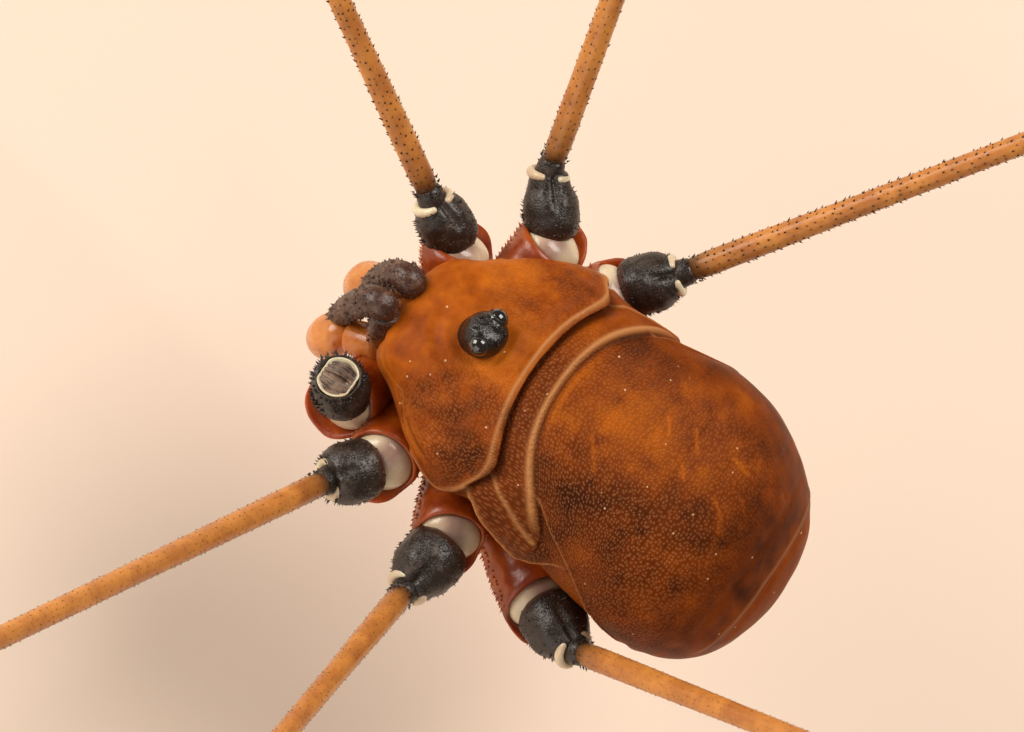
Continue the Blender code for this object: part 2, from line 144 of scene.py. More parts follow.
@dataclass
class Cloud:
    """Smooth seeded noise in space, between -1 and 1."""

    seed: int
    table: np.ndarray = field(init=False)

    def __post_init__(self) -> None:
        """Fills the table of random values."""
        self.table = np.random.default_rng(self.seed).uniform(-1, 1, 4096)

    def at(self, places: np.ndarray, size: float) -> np.ndarray:
        """The noise at places, with patches of about a size.

        Args:
            places: an array of points, in millimetres.
            size: the width of one patch.

        Returns:
            One value for each point.
        """
        scaled = places / size
        corner = np.floor(scaled).astype(np.int64)
        share = scaled - corner
        share = share * share * (3 - 2 * share)
        total = np.zeros(places.shape[:-1])
        for dx in (0, 1):
            for dy in (0, 1):
                for dz in (0, 1):
                    mixed = (corner[..., 0] + dx) * 73856093
                    mixed ^= (corner[..., 1] + dy) * 19349663
                    mixed ^= (corner[..., 2] + dz) * 83492791
                    weight = share[..., 0] if dx else 1 - share[..., 0]
                    weight = weight * (share[..., 1] if dy else 1 - share[..., 1])
                    weight = weight * (share[..., 2] if dz else 1 - share[..., 2])
                    total += weight * self.table[mixed & 4095]
        return total


# The body's form


@dataclass(frozen=True)
class BodyForm:
    """The outer form of prosoma and abdomen, on smooth curves through cross-sections.

    A place on it has a cross line s, where that line meets the middle of the
    back, and an angle that is 0 at the left side and a quarter turn on the back.
    """

    stations: tuple[Row, ...] = (
        (-1.07, 0.86, -0.82, -1.12, -1.80, 2.0),
        (-0.60, 1.16, -0.47, -1.10, -2.00, 1.6),
        (0.00, 1.55, -0.27, -1.02, -2.10, 1.4),
        (0.70, 1.84, -0.03, -0.92, -2.20, 1.4),
        (1.25, 1.74, 0.14, -0.80, -2.30, 1.6),
        (1.80, 1.76, 0.26, -0.78, -2.42, 1.9),
        (3.10, 1.92, 0.27, -0.92, -2.55, 2.2),
        (4.20, 1.92, 0.00, -1.38, -2.62, 2.2),
        (5.46, 1.88, -0.64, -1.76, -2.56, 2.2),
    )
    front_y: float = -1.07
    front_round_y: float = -0.70
    front_power: float = 3.0
    rear_round_y: float = 3.45
    rear_y: float = 5.46
    rear_power: float = 2.5
    back_power: float = 2.25
    bow_places: Row = (-0.6, 0.75, 1.24, 3.2)
    bow_values: Row = (0.0, 0.2, 0.37, 0.0)
    lean_places: Row = (-0.6, 0.75, 3.2)
    lean_values: Row = (0.0, 0.55, 0.0)

    def section(self, y: np.ndarray) -> np.ndarray:
        """The cross-section at each y, as the fields of a station."""
        table = np.array(self.stations)
        index = np.searchsorted(table[:, 0], y, side="right") - 1
        index = np.clip(index, 0, len(table) - 2)
        near, far = table[index], table[index + 1]
        before = table[np.maximum(index - 1, 0)]
        beyond = table[np.minimum(index + 2, len(table) - 1)]
        span = far[..., :1] - near[..., :1]
        share = np.clip((y[..., None] - near[..., :1]) / span, 0.0, 1.0)
        slope_near = (far - before) / (far[..., :1] - before[..., :1])
        slope_far = (beyond - near) / (beyond[..., :1] - near[..., :1])
        swing = slope_near * share * (1 - share) ** 2 - slope_far * share**2 * (1 - share)
        return near + (far - near) * share**2 * (3 - 2 * share) + span * swing

    def end_fullness(self, y: np.ndarray) -> np.ndarray:
        """1 along the body, falling to 0 at its two rounded ends."""
        front = (self.front_round_y - y) / (self.front_round_y - self.front_y)
        rear = (y - self.rear_round_y) / (self.rear_y - self.rear_round_y)
        front = 1 - np.clip(front, 0.0, 1.0) ** self.front_power
        rear = 1 - np.clip(rear, 0.0, 1.0) ** self.rear_power
        return front ** (1 / self.front_power) * rear ** (1 / self.rear_power)

    def points(self, s: np.ndarray, angle: np.ndarray, fullness: np.ndarray | float = 1.0) -> np.ndarray:
        """Points of the form, or inside it.

        Args:
            s: where each point's cross line meets the middle of the back.
            angle: the angle round the body, in radians.
            fullness: 1 on the surface and 0 at the body's core.

        Returns:
            An array of points in millimetres.
        """
        s, angle, fullness = np.broadcast_arrays(s, angle, fullness)
        bow = np.interp(s, self.bow_places, self.bow_values, left=0.0, right=0.0)
        lean = np.interp(s, self.lean_places, self.lean_values, left=0.0, right=0.0)
        lean = lean * (1 - fullness * np.sin(angle)) / 2
        above = np.sin(angle) >= 0
        x = np.zeros_like(s)
        for _ in range(4):
            y = s + bow * x * x - lean
            fields = self.section(y)
            full = self.end_fullness(y) * fullness
            power = np.where(above, self.back_power, fields[..., 5])
            x = fields[..., 1] * full * signed_power(np.cos(angle), 2 / power)
        height = np.where(above, fields[..., 2] - fields[..., 3], fields[..., 3] - fields[..., 4])
        z = fields[..., 3] + height * full * signed_power(np.sin(angle), 2 / power)
        return np.stack([x, y, z], axis=-1)

    def back_height(self, x: float, y: float) -> float:
        """The height of the back above a place near the middle."""
        fields = self.section(np.array(y))
        share = min(abs(x) / fields[1], 1.0)
        return float(fields[3] + (fields[2] - fields[3]) * (1 - share**self.back_power) ** (1 / self.back_power))


FORM = BodyForm()

# Distance round the body from the middle of the back, at each ten degrees
ARC_DEGREES = tuple(float(step) for step in range(0, 181, 10))
ARC_LENGTHS: Row = (
    *(0.0, 0.38, 0.711, 1.031, 1.348, 1.662, 1.959, 2.225, 2.459, 2.703),
    *(3.047, 3.369, 3.724, 4.113, 4.521, 4.901, 5.246, 5.52, 5.68),
)


def arc(degrees: np.ndarray | float) -> np.ndarray:
    """Distance round the body, in millimetres, from degrees off the middle of the back."""
    return np.interp(degrees, ARC_DEGREES, ARC_LENGTHS)


def surface_line(*corners: tuple[float, float]) -> Line:
    """A line on the body from (s, degrees off the middle of the back) corners."""
    return tuple((s, float(arc(degrees))) for s, degrees in corners)


# The workshop, where meshes are started and finished


@dataclass
class Marks:
    """Named values at the vertices of one mesh, which its material reads."""

    values: dict[str, np.ndarray] = field(default_factory=dict)

    def write(self, mesh: bpy.types.Mesh, row: np.ndarray, column: np.ndarray) -> None:
        """Writes each grid of values to the vertices laid on it."""
        for name, grid in self.values.items():
            layer = mesh.attributes.new(name, "FLOAT", "POINT")
            layer.data.foreach_set("value", grid[row, column].astype(np.float32))


@dataclass
class Seats:
    """Where copies of a small shape stand, in millimetres."""

    foot: np.ndarray
    heading: np.ndarray
    width: np.ndarray
    height: np.ndarray

    @classmethod
    def of(cls, rows: list[tuple[Vector, Vector, float, float]]) -> "Seats":
        """Seats from (foot, heading, width, height) rows."""
        return cls(*(np.array(column) for column in zip(*rows)))


def outwards(rings: np.ndarray) -> np.ndarray:
    """The way from each ring's middle to each of its points, one unit long."""
    out = rings - rings.mean(axis=1, keepdims=True)
    return out / np.maximum(np.linalg.norm(out, axis=-1, keepdims=True), 1e-9)


@dataclass
class Workshop:
    """Starts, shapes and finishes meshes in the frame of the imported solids."""

    datum: Vector

    def world(self, places: np.ndarray) -> np.ndarray:
        """Body places in millimetres as places of the frame in metres."""
        return np.asarray(places, float) * MM + np.array(self.datum)

    def place(self, point: Vector) -> Vector:
        """One body place in millimetres as a place of the frame in metres."""
        return Vector(point) * MM + self.datum

    def start_clean(self) -> None:
        """Leaves edit mode and selects nothing."""
        if bpy.context.object and bpy.context.object.mode != "OBJECT":
            bpy.ops.object.mode_set(mode="OBJECT")
        bpy.ops.object.select_all(action="DESELECT")

    def named(self, name: str) -> bpy.types.Object:
        """Gives the new active object and its mesh a name."""
        made = bpy.context.object
        made.name = name
        made.data.name = name
        return made

    def pick(self, made: bpy.types.Object) -> None:
        """Selects one object and makes it the active one."""
        self.start_clean()
        made.select_set(True)
        bpy.context.view_layer.objects.active = made

    def face_outwards(self, made: bpy.types.Object) -> None:
        """Turns all faces of a closed piece outwards."""
        self.pick(made)
        bpy.ops.object.mode_set(mode="EDIT")
        bpy.ops.mesh.select_all(action="SELECT")
        bpy.ops.mesh.normals_make_consistent(inside=False)
        bpy.ops.object.mode_set(mode="OBJECT")

    def settle(self, made: bpy.types.Object) -> bpy.types.Object:
        """Moves an object's place, turn and scale into its mesh and shades it smooth."""
        self.pick(made)
        bpy.ops.object.transform_apply(location=True, rotation=True, scale=True)
        bpy.ops.object.shade_smooth()
        return made

    def mark_places(self, made: bpy.types.Object, name: str, worth: Callable[[np.ndarray], np.ndarray]) -> None:
        """Writes a mark at a mesh's vertices from their places in body millimetres."""
        places = np.empty(len(made.data.vertices) * 3)
        made.data.vertices.foreach_get("co", places)
        found = worth((places.reshape(-1, 3) - np.array(self.datum)) / MM)
        layer = made.data.attributes.new(name, "FLOAT", "POINT")
        layer.data.foreach_set("value", np.broadcast_to(found, len(made.data.vertices)).astype(np.float32))

    def apply_modifier(self, made: bpy.types.Object, kind: str, **settings: object) -> None:
        """Adds a modifier with its settings and applies it.

        Args:
            made: the object that gets it.
            kind: the modifier's type.
            **settings: the modifier's values by name.
        """
        self.pick(made)
        added = made.modifiers.new(kind.lower(), kind)
        for key, value in settings.items():
            setattr(added, key, value)
        bpy.ops.object.modifier_apply(modifier=added.name)

    def join(self, name: str, pieces: list[bpy.types.Object]) -> bpy.types.Object:
        """Joins pieces into one object, which keeps the first one's place."""
        self.start_clean()
        for piece in pieces:
            piece.select_set(True)
        bpy.context.view_layer.objects.active = pieces[0]
        bpy.ops.object.join()
        return self.named(name)

    def dress(self, made: bpy.types.Object, material: bpy.types.Material) -> bpy.types.Object:
        """Gives an object its one material."""
        made.data.materials.clear()
        made.data.materials.append(material)
        return made

    def wrapped_ball(
        self, name: str, rings: np.ndarray, marks: Marks | None = None, across: np.ndarray | None = None
    ) -> bpy.types.Object:
        """A ball primitive whose rings are laid along a form, closed at both poles.

        Args:
            name: the piece's name.
            rings: points by row and column in millimetres, where the first
                and last rows shrink to the two poles.
            marks: values for the same rows and columns.
            across: distances round the form for the columns and the seam,
                for its surface map in millimetres; even ones if left out.

        Returns:
            The new object.
        """
        rows, columns = rings.shape[0] - 1, rings.shape[1]
        self.start_clean()
        bpy.ops.mesh.primitive_uv_sphere_add(segments=columns, ring_count=rows, radius=1.0)
        made = self.named(name)
        mesh = made.data
        places = np.empty(len(mesh.vertices) * 3)
        mesh.vertices.foreach_get("co", places)
        places = places.reshape(-1, 3)
        row = np.rint(np.arccos(np.clip(places[:, 2], -1, 1)) / np.pi * rows).astype(int)
        turn = np.arctan2(places[:, 1], places[:, 0]) / (2 * np.pi)
        column = np.rint(turn * columns).astype(int) % columns
        laid = rings[row, column]
        for end in (0, rows):
            laid[row == end] = rings[end].mean(axis=0)
        mesh.vertices.foreach_set("co", self.world(laid).ravel())
        if marks:
            marks.write(mesh, row, column)
        self._lay_map(mesh, row, column, rings, across)
        self.face_outwards(made)
        mesh.shade_smooth()
        return made

    def _lay_map(
        self,
        mesh: bpy.types.Mesh,
        row: np.ndarray,
        column: np.ndarray,
        rings: np.ndarray,
        across: np.ndarray | None,
    ) -> None:
        """Writes a surface map in millimetres, with its seam at column 0.

        Args:
            mesh: the mesh of a ball primitive.
            row: each vertex's row.
            column: each vertex's column.
            rings: the laid points.
            across: distances round the form for the columns and the seam.
        """
        rows, columns = rings.shape[0] - 1, rings.shape[1]
        steps = np.linalg.norm(np.diff(rings[:, columns // 2], axis=0), axis=1)
        down = np.concatenate([[0.0], np.cumsum(steps)])
        if across is None:
            ring = rings[rows // 2]
            span = np.linalg.norm(np.roll(ring, -1, axis=0) - ring, axis=1)
            across = np.concatenate([[0.0], np.cumsum(span)])
        corners = np.empty(len(mesh.loops), np.int32)
        mesh.loops.foreach_get("vertex_index", corners)
        starts = np.empty(len(mesh.polygons), np.int32)
        mesh.polygons.foreach_get("loop_start", starts)
        owner = np.searchsorted(starts, np.arange(len(corners)), side="right") - 1
        at_pole = (row[corners] == 0) | (row[corners] == rows)
        found = np.where(at_pole, -1, column[corners])
        highest = np.full(len(starts), -1)
        np.maximum.at(highest, owner, found)
        wraps = (highest[owner] > columns // 2) & (found == 0)
        found = np.where(wraps, columns, found)
        found = np.where(found < 0, highest[owner], found)
        layer = mesh.uv_layers[0]
        layer.name = "surface"
        flat = np.stack([across[found], down[row[corners]]], axis=1)
        layer.data.foreach_set("uv", flat.astype(np.float32).ravel())

    def drawn_limb(
        self, name: str, path: list[Vector], radii: list[float], sides: int = 16
    ) -> bpy.types.Object:
        """A limb drawn out of a filled circle, ring by ring, square to its path.

        Args:
            name: the piece's name.
            path: ring centres in millimetres.
            radii: ring half widths in millimetres.
            sides: how many faces go round it.

        Returns:
            The new object, its place in its mesh.
        """
        self.start_clean()
        heading = (path[1] - path[0]).normalized()
        turn = heading.to_track_quat("Z", "Y")
        bpy.ops.mesh.primitive_circle_add(
            vertices=sides,
            radius=radii[0] * MM,
            fill_type="NGON",
            location=self.place(path[0]),
            rotation=turn.to_euler(),
        )
        made = self.named(name)
        bpy.ops.object.transform_apply(location=True, rotation=True, scale=True)
        bpy.ops.object.mode_set(mode="EDIT")
        bpy.ops.mesh.select_mode(type="FACE")
        bpy.ops.mesh.select_all(action="SELECT")
        for index in range(1, len(path)):
            step = (path[index] - path[index - 1]) * MM
            bpy.ops.mesh.extrude_region_move(TRANSFORM_OT_translate={"value": step})
            centre = self.place(path[index])
            ahead = path[min(index + 1, len(path) - 1)] - path[index - 1]
            if ahead.length > 1e-9 and heading.angle(ahead) > 0.01 and heading.angle(ahead) < 2.5:
                self.turn_selected(heading.rotation_difference(ahead.normalized()), centre)
                heading = ahead.normalized()
            share = radii[index] / radii[index - 1]
            bpy.ops.transform.resize(value=(share, share, share), center_override=centre)
        self.face_outwards(made)
        made.data.shade_smooth()
        return made

    def turn_selected(self, turn: object, centre: Vector) -> None:
        """Turns what is selected in edit mode about a place.

        Args:
            turn: the turn, as a quaternion.
            centre: the place that stays.
        """
        for axis, angle in zip("XYZ", turn.to_euler("XYZ")):
            bpy.ops.transform.rotate(value=-angle, orient_axis=axis, center_override=centre)

    def ball(
        self, name: str, centre: Vector, radii: Row, turn: object | None = None, segments: int = 24, rings: int = 16
    ) -> bpy.types.Object:
        """A ball pressed to three half widths and turned.

        Args:
            name: the piece's name.
            centre: its place in millimetres.
            radii: half widths along its own axes.
            turn: a quaternion, or nothing for an unturned one.
            segments: faces round it.
            rings: faces from pole to pole.

        Returns:
            The new object, its place in its mesh.
        """
        self.start_clean()
        bpy.ops.mesh.primitive_uv_sphere_add(segments=segments, ring_count=rings, radius=MM)
        made = self.named(name)
        bpy.ops.object.mode_set(mode="EDIT")
        bpy.ops.mesh.select_all(action="SELECT")
        bpy.ops.transform.resize(value=radii, center_override=(0, 0, 0))
        bpy.ops.object.mode_set(mode="OBJECT")
        if turn is not None:
            made.rotation_mode = "QUATERNION"
            made.rotation_quaternion = turn
        made.location = self.place(centre)
        return self.settle(made)

    def studs(self, name: str, template: bpy.types.Object, seats: Seats) -> bpy.types.Object:
        """Copies of one small template set on many seats, as one mesh.

        Args:
            name: the piece's name.
            template: an object standing on its own XY plane, one unit tall.
            seats: where the copies stand, how they point and how big they are.

        Returns:
            The new object, with an attribute spine of 1.
        """
        source = template.data
        shape = np.array([vertex.co for vertex in source.vertices])
        faces = np.array([tuple(face.vertices) for face in source.polygons])
        point = seats.heading / np.linalg.norm(seats.heading, axis=1, keepdims=True)
        helper = np.where(np.abs(point[:, 2:]) < 0.9, (0.0, 0.0, 1.0), (1.0, 0.0, 0.0))
        first = np.cross(helper, point)
        first /= np.linalg.norm(first, axis=1, keepdims=True)
        second = np.cross(point, first)
        turned = (
            shape[None, :, :1] * first[:, None] * seats.width[:, None, None]
            + shape[None, :, 1:2] * second[:, None] * seats.width[:, None, None]
            + shape[None, :, 2:] * point[:, None] * seats.height[:, None, None]
        )
        places = (turned + seats.foot[:, None]).reshape(-1, 3)
        index = (faces[None] + np.arange(len(point))[:, None, None] * len(shape)).reshape(-1, faces.shape[1])
        mesh = bpy.data.meshes.new(name)
        mesh.from_pydata(self.world(places).tolist(), [], index.tolist())
        layer = mesh.attributes.new("spine", "FLOAT", "POINT")
        layer.data.foreach_set("value", np.ones(len(mesh.vertices), np.float32))
        made = bpy.data.objects.new(name, mesh)
        bpy.context.collection.objects.link(made)
        mesh.shade_smooth()
        return made

    def thorn_field(self, name: str, sides: int, seats: Seats) -> bpy.types.Object:
        """Thorns of a few sides on many seats, as one mesh."""
        thorn = self.thorn_template(sides)
        made = self.studs(name, thorn, seats)
        bpy.data.objects.remove(thorn, do_unlink=True)
        return made

    def thorn_template(self, sides: int) -> bpy.types.Object:
        """A thorn one unit tall and wide at its foot, leaning a little to its own X."""
        self.start_clean()
        bpy.ops.mesh.primitive_cone_add(
            vertices=sides, radius1=1.0, radius2=0.45, depth=0.5, end_fill_type="NOTHING", location=(0, 0, 0.25)
        )
        made = self.named("thorn")
        bpy.ops.object.transform_apply(location=True)
        bpy.ops.object.mode_set(mode="EDIT")
        bpy.ops.mesh.select_mode(type="VERT")
        bpy.ops.mesh.select_all(action="DESELECT")
        bpy.ops.object.mode_set(mode="OBJECT")
        for vertex in made.data.vertices:
            vertex.select = vertex.co.z > 0.4
        for edge in made.data.edges:
            edge.select = all(made.data.vertices[index].select for index in edge.vertices)
        bpy.ops.object.mode_set(mode="EDIT")
        bpy.ops.mesh.extrude_region_move(TRANSFORM_OT_translate={"value": (0.1, 0.0, 0.5)})
        bpy.ops.mesh.merge(type="CENTER")
        bpy.ops.mesh.select_all(action="SELECT")
        bpy.ops.mesh.quads_convert_to_tris()
        bpy.ops.object.mode_set(mode="OBJECT")
        return made


# Finishes


class Wire:
    """A socket of a material's nodes, with arithmetic that adds Math nodes."""

    def __init__(self, bench: "Bench", socket: bpy.types.NodeSocket) -> None:
        """Keeps the bench that the socket belongs to."""
        self.bench = bench
        self.socket = socket

    def _math(self, operation: str, first: "Value", second: "Value") -> "Wire":
        """One Math node on two values."""
        return self.bench.node("ShaderNodeMath", {"operation": operation}, {0: first, 1: second})

    def __add__(self, other: "Value") -> "Wire":
        """This plus another."""
        return self._math("ADD", self, other)

    def __radd__(self, other: "Value") -> "Wire":
        """Another plus this."""
        return self._math("ADD", other, self)

    def __sub__(self, other: "Value") -> "Wire":
        """This less another."""
        return self._math("SUBTRACT", self, other)

    def __rsub__(self, other: "Value") -> "Wire":
        """Another less this."""
        return self._math("SUBTRACT", other, self)

    def __mul__(self, other: "Value") -> "Wire":
        """This times another."""
        return self._math("MULTIPLY", self, other)

    def __rmul__(self, other: "Value") -> "Wire":
        """Another times this."""
        return self._math("MULTIPLY", other, self)

    def __truediv__(self, other: "Value") -> "Wire":
        """This over another."""
        return self._math("DIVIDE", self, other)

    def __pow__(self, other: "Value") -> "Wire":
        """This to a power."""
        return self._math("POWER", self, other)

    def clamped(self) -> "Wire":
        """This kept between 0 and 1."""
        return self.bench.node("ShaderNodeClamp", {}, {0: self})

    def graded(self, low: float, high: float) -> "Wire":
        """0 at low, 1 at high and smooth between them."""
        settings = {"interpolation_type": "SMOOTHSTEP"}
        return self.bench.node("ShaderNodeMapRange", settings, {0: self, 1: low, 2: high})


Value = Wire | float
Colour = tuple[float, float, float]
Tint = Wire | Colour


class Bench:
    """The nodes of one material and the ways they are added."""

    def __init__(self, name: str) -> None:
        """Starts a material with its shader."""
        self.material = bpy.data.materials.new(name)
        self.material.use_nodes = True
        self.tree = self.material.node_tree
        self.shader = self.tree.nodes["Principled BSDF"]

    def plug(self, socket: bpy.types.NodeSocket, value: "Value | Tint") -> None:
        """Links a wire to a socket, or sets its number or colour."""
        if isinstance(value, Wire):
            self.tree.links.new(value.socket, socket)
        elif isinstance(value, tuple) and len(value) == 3 and len(socket.default_value) == 4:
            socket.default_value = (*value, 1.0)
        else:
            socket.default_value = value

    def node(self, kind: str, settings: dict[str, object], values: dict, output: int | str = 0) -> Wire:
        """One node of any kind.

        Args:
            kind: the node's type.
            settings: its settings, set first; stops fill a ramp.
            values: numbers, colours or wires for its sockets.
            output: the socket that the wire comes from.

        Returns:
            The wire.
        """
        added = self.tree.nodes.new(kind)
        for key, value in settings.items():
            if key == "stops":
                self._fill_ramp(added.color_ramp, value)
            else:
                setattr(added, key, value)
        for key, value in values.items():
            self.plug(added.inputs[key], value)
        return Wire(self, added.outputs[output])

    def _fill_ramp(self, ramp: bpy.types.ColorRamp, stops: list[tuple[float, Colour]]) -> None:
        """Sets a ramp's stops."""
        while len(ramp.elements) < len(stops):
            ramp.elements.new(1.0)
        for element, (place, colour) in zip(ramp.elements, stops):
            element.position = place
            element.color = (*colour, 1.0)

    def mark(self, name: str) -> Wire:
        """A value that the mesh carries at its vertices."""
        return self.node("ShaderNodeAttribute", {"attribute_name": name}, {}, "Fac")

    def place(self) -> Wire:
        """The place on the object, in metres."""
        return self.node("ShaderNodeTexCoord", {}, {}, "Object")

    def surface(self) -> Wire:
        """The piece's own surface map, in millimetres."""
        return self.node("ShaderNodeUVMap", {"uv_map": "surface"}, {})

    def noise(self, where: Wire, scale: float, detail: float = 3.0, roughness: float = 0.55) -> Wire:
        """Cloudy noise between 0 and 1."""
        values = {"Vector": where, "Scale": scale, "Detail": detail, "Roughness": roughness}
        return self.node("ShaderNodeTexNoise", {}, values)

    def cells(self, where: Wire, scale: float, loose: float, flat: bool) -> Wire:
        """The distance from the nearest of many scattered points."""
        settings = {"voronoi_dimensions": "2D" if flat else "3D"}
        return self.node("ShaderNodeTexVoronoi", settings, {"Vector": where, "Scale": scale, "Randomness": loose})

    def mix(self, share: Value, first: Tint, second: Tint) -> Wire:
        """One colour over another."""
        return self.node("ShaderNodeMix", {"data_type": "RGBA"}, {0: share, 6: first, 7: second}, 2)

    def bump(self, height: Wire, depth: float, under: Wire | None = None) -> Wire:
        """A bump from a height between 0 and 1.

        Args:
            height: the height's wire.
            depth: how many metres a height of 1 stands up.
            under: another bump that this one lies on.

        Returns:
            The bumped normal.
        """
        values = {"Strength": 1.0, "Distance": depth, "Height": height}
        if under is not None:
            values["Normal"] = under
        return self.node("ShaderNodeBump", {}, values)

    def finish(self, **values: "Value | Tint") -> bpy.types.Material:
        """Sets the shader's sockets, named with _ for a space, and gives the material."""
        for key, value in values.items():
            self.plug(self.shader.inputs[key.replace("_", " ")], value)
        return self.material


@dataclass(frozen=True)
class BodyCuticle:
    """The granular amber and brown cuticle of the back and the belly, with painted glints on the back."""

    name: str
    dark: Colour = (0.050, 0.009, 0.0015)
    brown: Colour = (0.215, 0.040, 0.002)
    orange: Colour = (0.43, 0.098, 0.002)
    rim: Colour = (0.46, 0.200, 0.070)
    # slot: the furrows' own dark brown, deepened into painted shade where the skin dips into furrows and creases.
    slot: Colour = (0.060, 0.010, 0.002)
    dot: Colour = (0.40, 0.165, 0.060)
    # Colour of the painted glints: tiny highlights painted into the base colour.
    painted_glint: Colour = (0.75, 0.50, 0.30)
    belly: Colour = (0.38, 0.11, 0.020)
    dot_spacing_mm: float = 0.056

    def make(self) -> bpy.types.Material:
        """The material, from the marks tone, rim, slot, grain, back and belly; slot lays the furrows' own dark brown,
        deepened into painted shade, in furrows and creases.
        """
        bench = Bench(self.name)
        place = bench.place()
        tone = bench.mark("tone")
        mottle = bench.noise(place, 2600.0, 4.0, 0.6) - 0.5
        fine = bench.noise(place, 11000.0, 3.0, 0.6) - 0.5
        tone = (tone + mottle * 0.55 + fine * 0.30).clamped()
        lower = bench.mix((tone * 2.0).clamped(), self.dark, self.brown)
        colour = bench.mix((tone * 2.0 - 1.0).clamped(), lower, self.orange)
        colour = bench.mix(bench.mark("belly"), colour, self.belly)
        grain = bench.mark("grain")
        surface = bench.surface()
        warp = bench.node(
            "ShaderNodeVectorMath",
            {"operation": "MULTIPLY_ADD"},
            {
                0: bench.node("ShaderNodeTexNoise", {"noise_dimensions": "2D"}, {"Vector": surface, "Scale": 3.0}, 1),
                1: (0.05, 0.05, 0.0),
                2: surface,
            },
        )
        near = bench.cells(warp, 1.0 / self.dot_spacing_mm, 0.72, True)
        dots = 1.0 - near.graded(0.10, 0.46)
        crowd = (grain * (0.75 + fine * 0.9)).clamped()
        colour = bench.mix((near.graded(0.30, 0.75) * crowd * 0.55).clamped(), colour, self.dark)
        colour = bench.mix((dots * crowd * 0.55).clamped(), colour, self.dot)
        # Painted highlights: a few tiny bright specks on the back, mixed into the base colour as glints.
        painted_glint_specks = bench.cells(place, 3300.0, 1.0, False).graded(0.065, 0.035) * bench.mark("back")
        colour = bench.mix((painted_glint_specks * 0.8).clamped(), colour, self.painted_glint)
        colour = bench.mix(bench.mark("rim"), colour, self.rim)
        # Painted shade over the membrane's own dark brown: the mark slot darkens furrows and creases.
        colour = bench.mix(bench.mark("slot"), colour, self.slot)
        pits = bench.noise(place, 26000.0, 2.0, 0.5)
        normal = bench.bump(pits, 0.000006)
        normal = bench.bump(dots * crowd, 0.000016, normal)
        rough = (0.46 + fine * 0.25 + grain * 0.06).clamped()
        return bench.finish(
            Base_Color=colour,
            Roughness=rough,
            Normal=normal,
            Subsurface_Weight=0.18,
            Subsurface_Radius=(1.0, 0.35, 0.12),
            Subsurface_Scale=0.00018,
            Specular_IOR_Level=0.07,
        )


@dataclass(frozen=True)
class DarkCuticle:
    """The black granular cuticle of trochanters, knobs and the eye mound."""

    name: str
    ground: Colour = (0.016, 0.009, 0.006)
    worn: Colour = (0.105, 0.070, 0.050)
    warm: Colour = (0.085, 0.022, 0.010)
    grain_mm: float = 0.030
    roughness: float = 0.38

    def make(self) -> bpy.types.Material:
        """The material, with warm edges where the mark warm says."""
        bench = Bench(self.name)
        place = bench.place()
        patches = bench.noise(place, 5200.0, 4.0, 0.65)
        near = bench.cells(place, 1000.0 / self.grain_mm, 0.9, False)
        grains = 1.0 - near.graded(0.05, 0.62)
        colour = bench.mix((patches.graded(0.48, 0.78) * 0.55 + grains * 0.16).clamped(), self.ground, self.worn)
        colour = bench.mix(bench.mark("warm"), colour, self.warm)
        normal = bench.bump(grains, 0.000004)
        normal = bench.bump(patches, 0.000006, normal)
        rough = (self.roughness + (patches - 0.5) * 0.30).clamped()
        return bench.finish(Base_Color=colour, Roughness=rough, Normal=normal, IOR=1.52)


@dataclass(frozen=True)
class LegCuticle:
    """The tan translucent cuticle of the long leg pieces, dark where the mark dusk says."""

    name: str
    light: Colour = (0.63, 0.255, 0.052)
    deep: Colour = (0.43, 0.150, 0.035)
    dusk: Colour = (0.020, 0.009, 0.006)
    thorn: Colour = (0.012, 0.008, 0.007)
    speck: Colour = (0.20, 0.075, 0.020)

    def make(self) -> bpy.types.Material:
        """The material, with thorns picked out by the mark spine."""
        bench = Bench(self.name)
        place = bench.place()
        streaks = bench.noise(place, 2400.0, 4.0, 0.6)
        fine = bench.noise(place, 14000.0, 3.0, 0.6)
        colour = bench.mix(streaks.graded(0.30, 0.72), self.deep, self.light)
        specks = 1.0 - bench.cells(place, 9500.0, 1.0, False).graded(0.04, 0.26)
        colour = bench.mix((specks * 0.55).clamped(), colour, self.speck)
        colour = bench.mix(((fine - 0.5) * 0.6).clamped(), colour, self.deep)
        colour = bench.mix(bench.mark("dusk"), colour, self.dusk)
        colour = bench.mix(bench.mark("spine"), colour, self.thorn)
        normal = bench.bump(fine, 0.000006)
        return bench.finish(
            Base_Color=colour,
            Roughness=(0.34 + (streaks - 0.5) * 0.3).clamped(),
            Normal=normal,
            Subsurface_Weight=0.25,
            Subsurface_Radius=(1.0, 0.45, 0.15),
            Subsurface_Scale=0.00015,
            IOR=1.42,
        )


@dataclass(frozen=True)
class SoftCuticle:
    """Glossy translucent cuticle: coxae, mouthparts and joint membranes."""

    name: str
    light: Colour
    deep: Colour
    patch_per_m: float = 2500.0
    roughness: float = 0.28
    glow: float = 0.35
    bump_m: float = 0.000005
    coat: float = 0.20
    shade: Colour = (0.020, 0.008, 0.004)

    def make(self) -> bpy.types.Material:
        """The material, darker in patches and shaded where the mark tip says."""
        bench = Bench(self.name)
        place = bench.place()
        patches = bench.noise(place, self.patch_per_m, 4.0, 0.6)
        fine = bench.noise(place, self.patch_per_m * 6, 3.0, 0.6)
        colour = bench.mix(patches.graded(0.30, 0.70), self.deep, self.light)
        colour = bench.mix(((fine - 0.5) * 0.8).clamped(), colour, self.deep)
        colour = bench.mix(bench.mark("tip"), colour, self.shade)
        normal = bench.bump(fine, self.bump_m)
        return bench.finish(
            Base_Color=colour,
            Roughness=(self.roughness + (fine - 0.5) * 0.3).clamped(),
            Normal=normal,
            Subsurface_Weight=self.glow,
            Subsurface_Radius=(1.0, 0.4, 0.15),
            Subsurface_Scale=0.00025,
            Coat_Weight=self.coat,
            Coat_Roughness=0.15,
        )


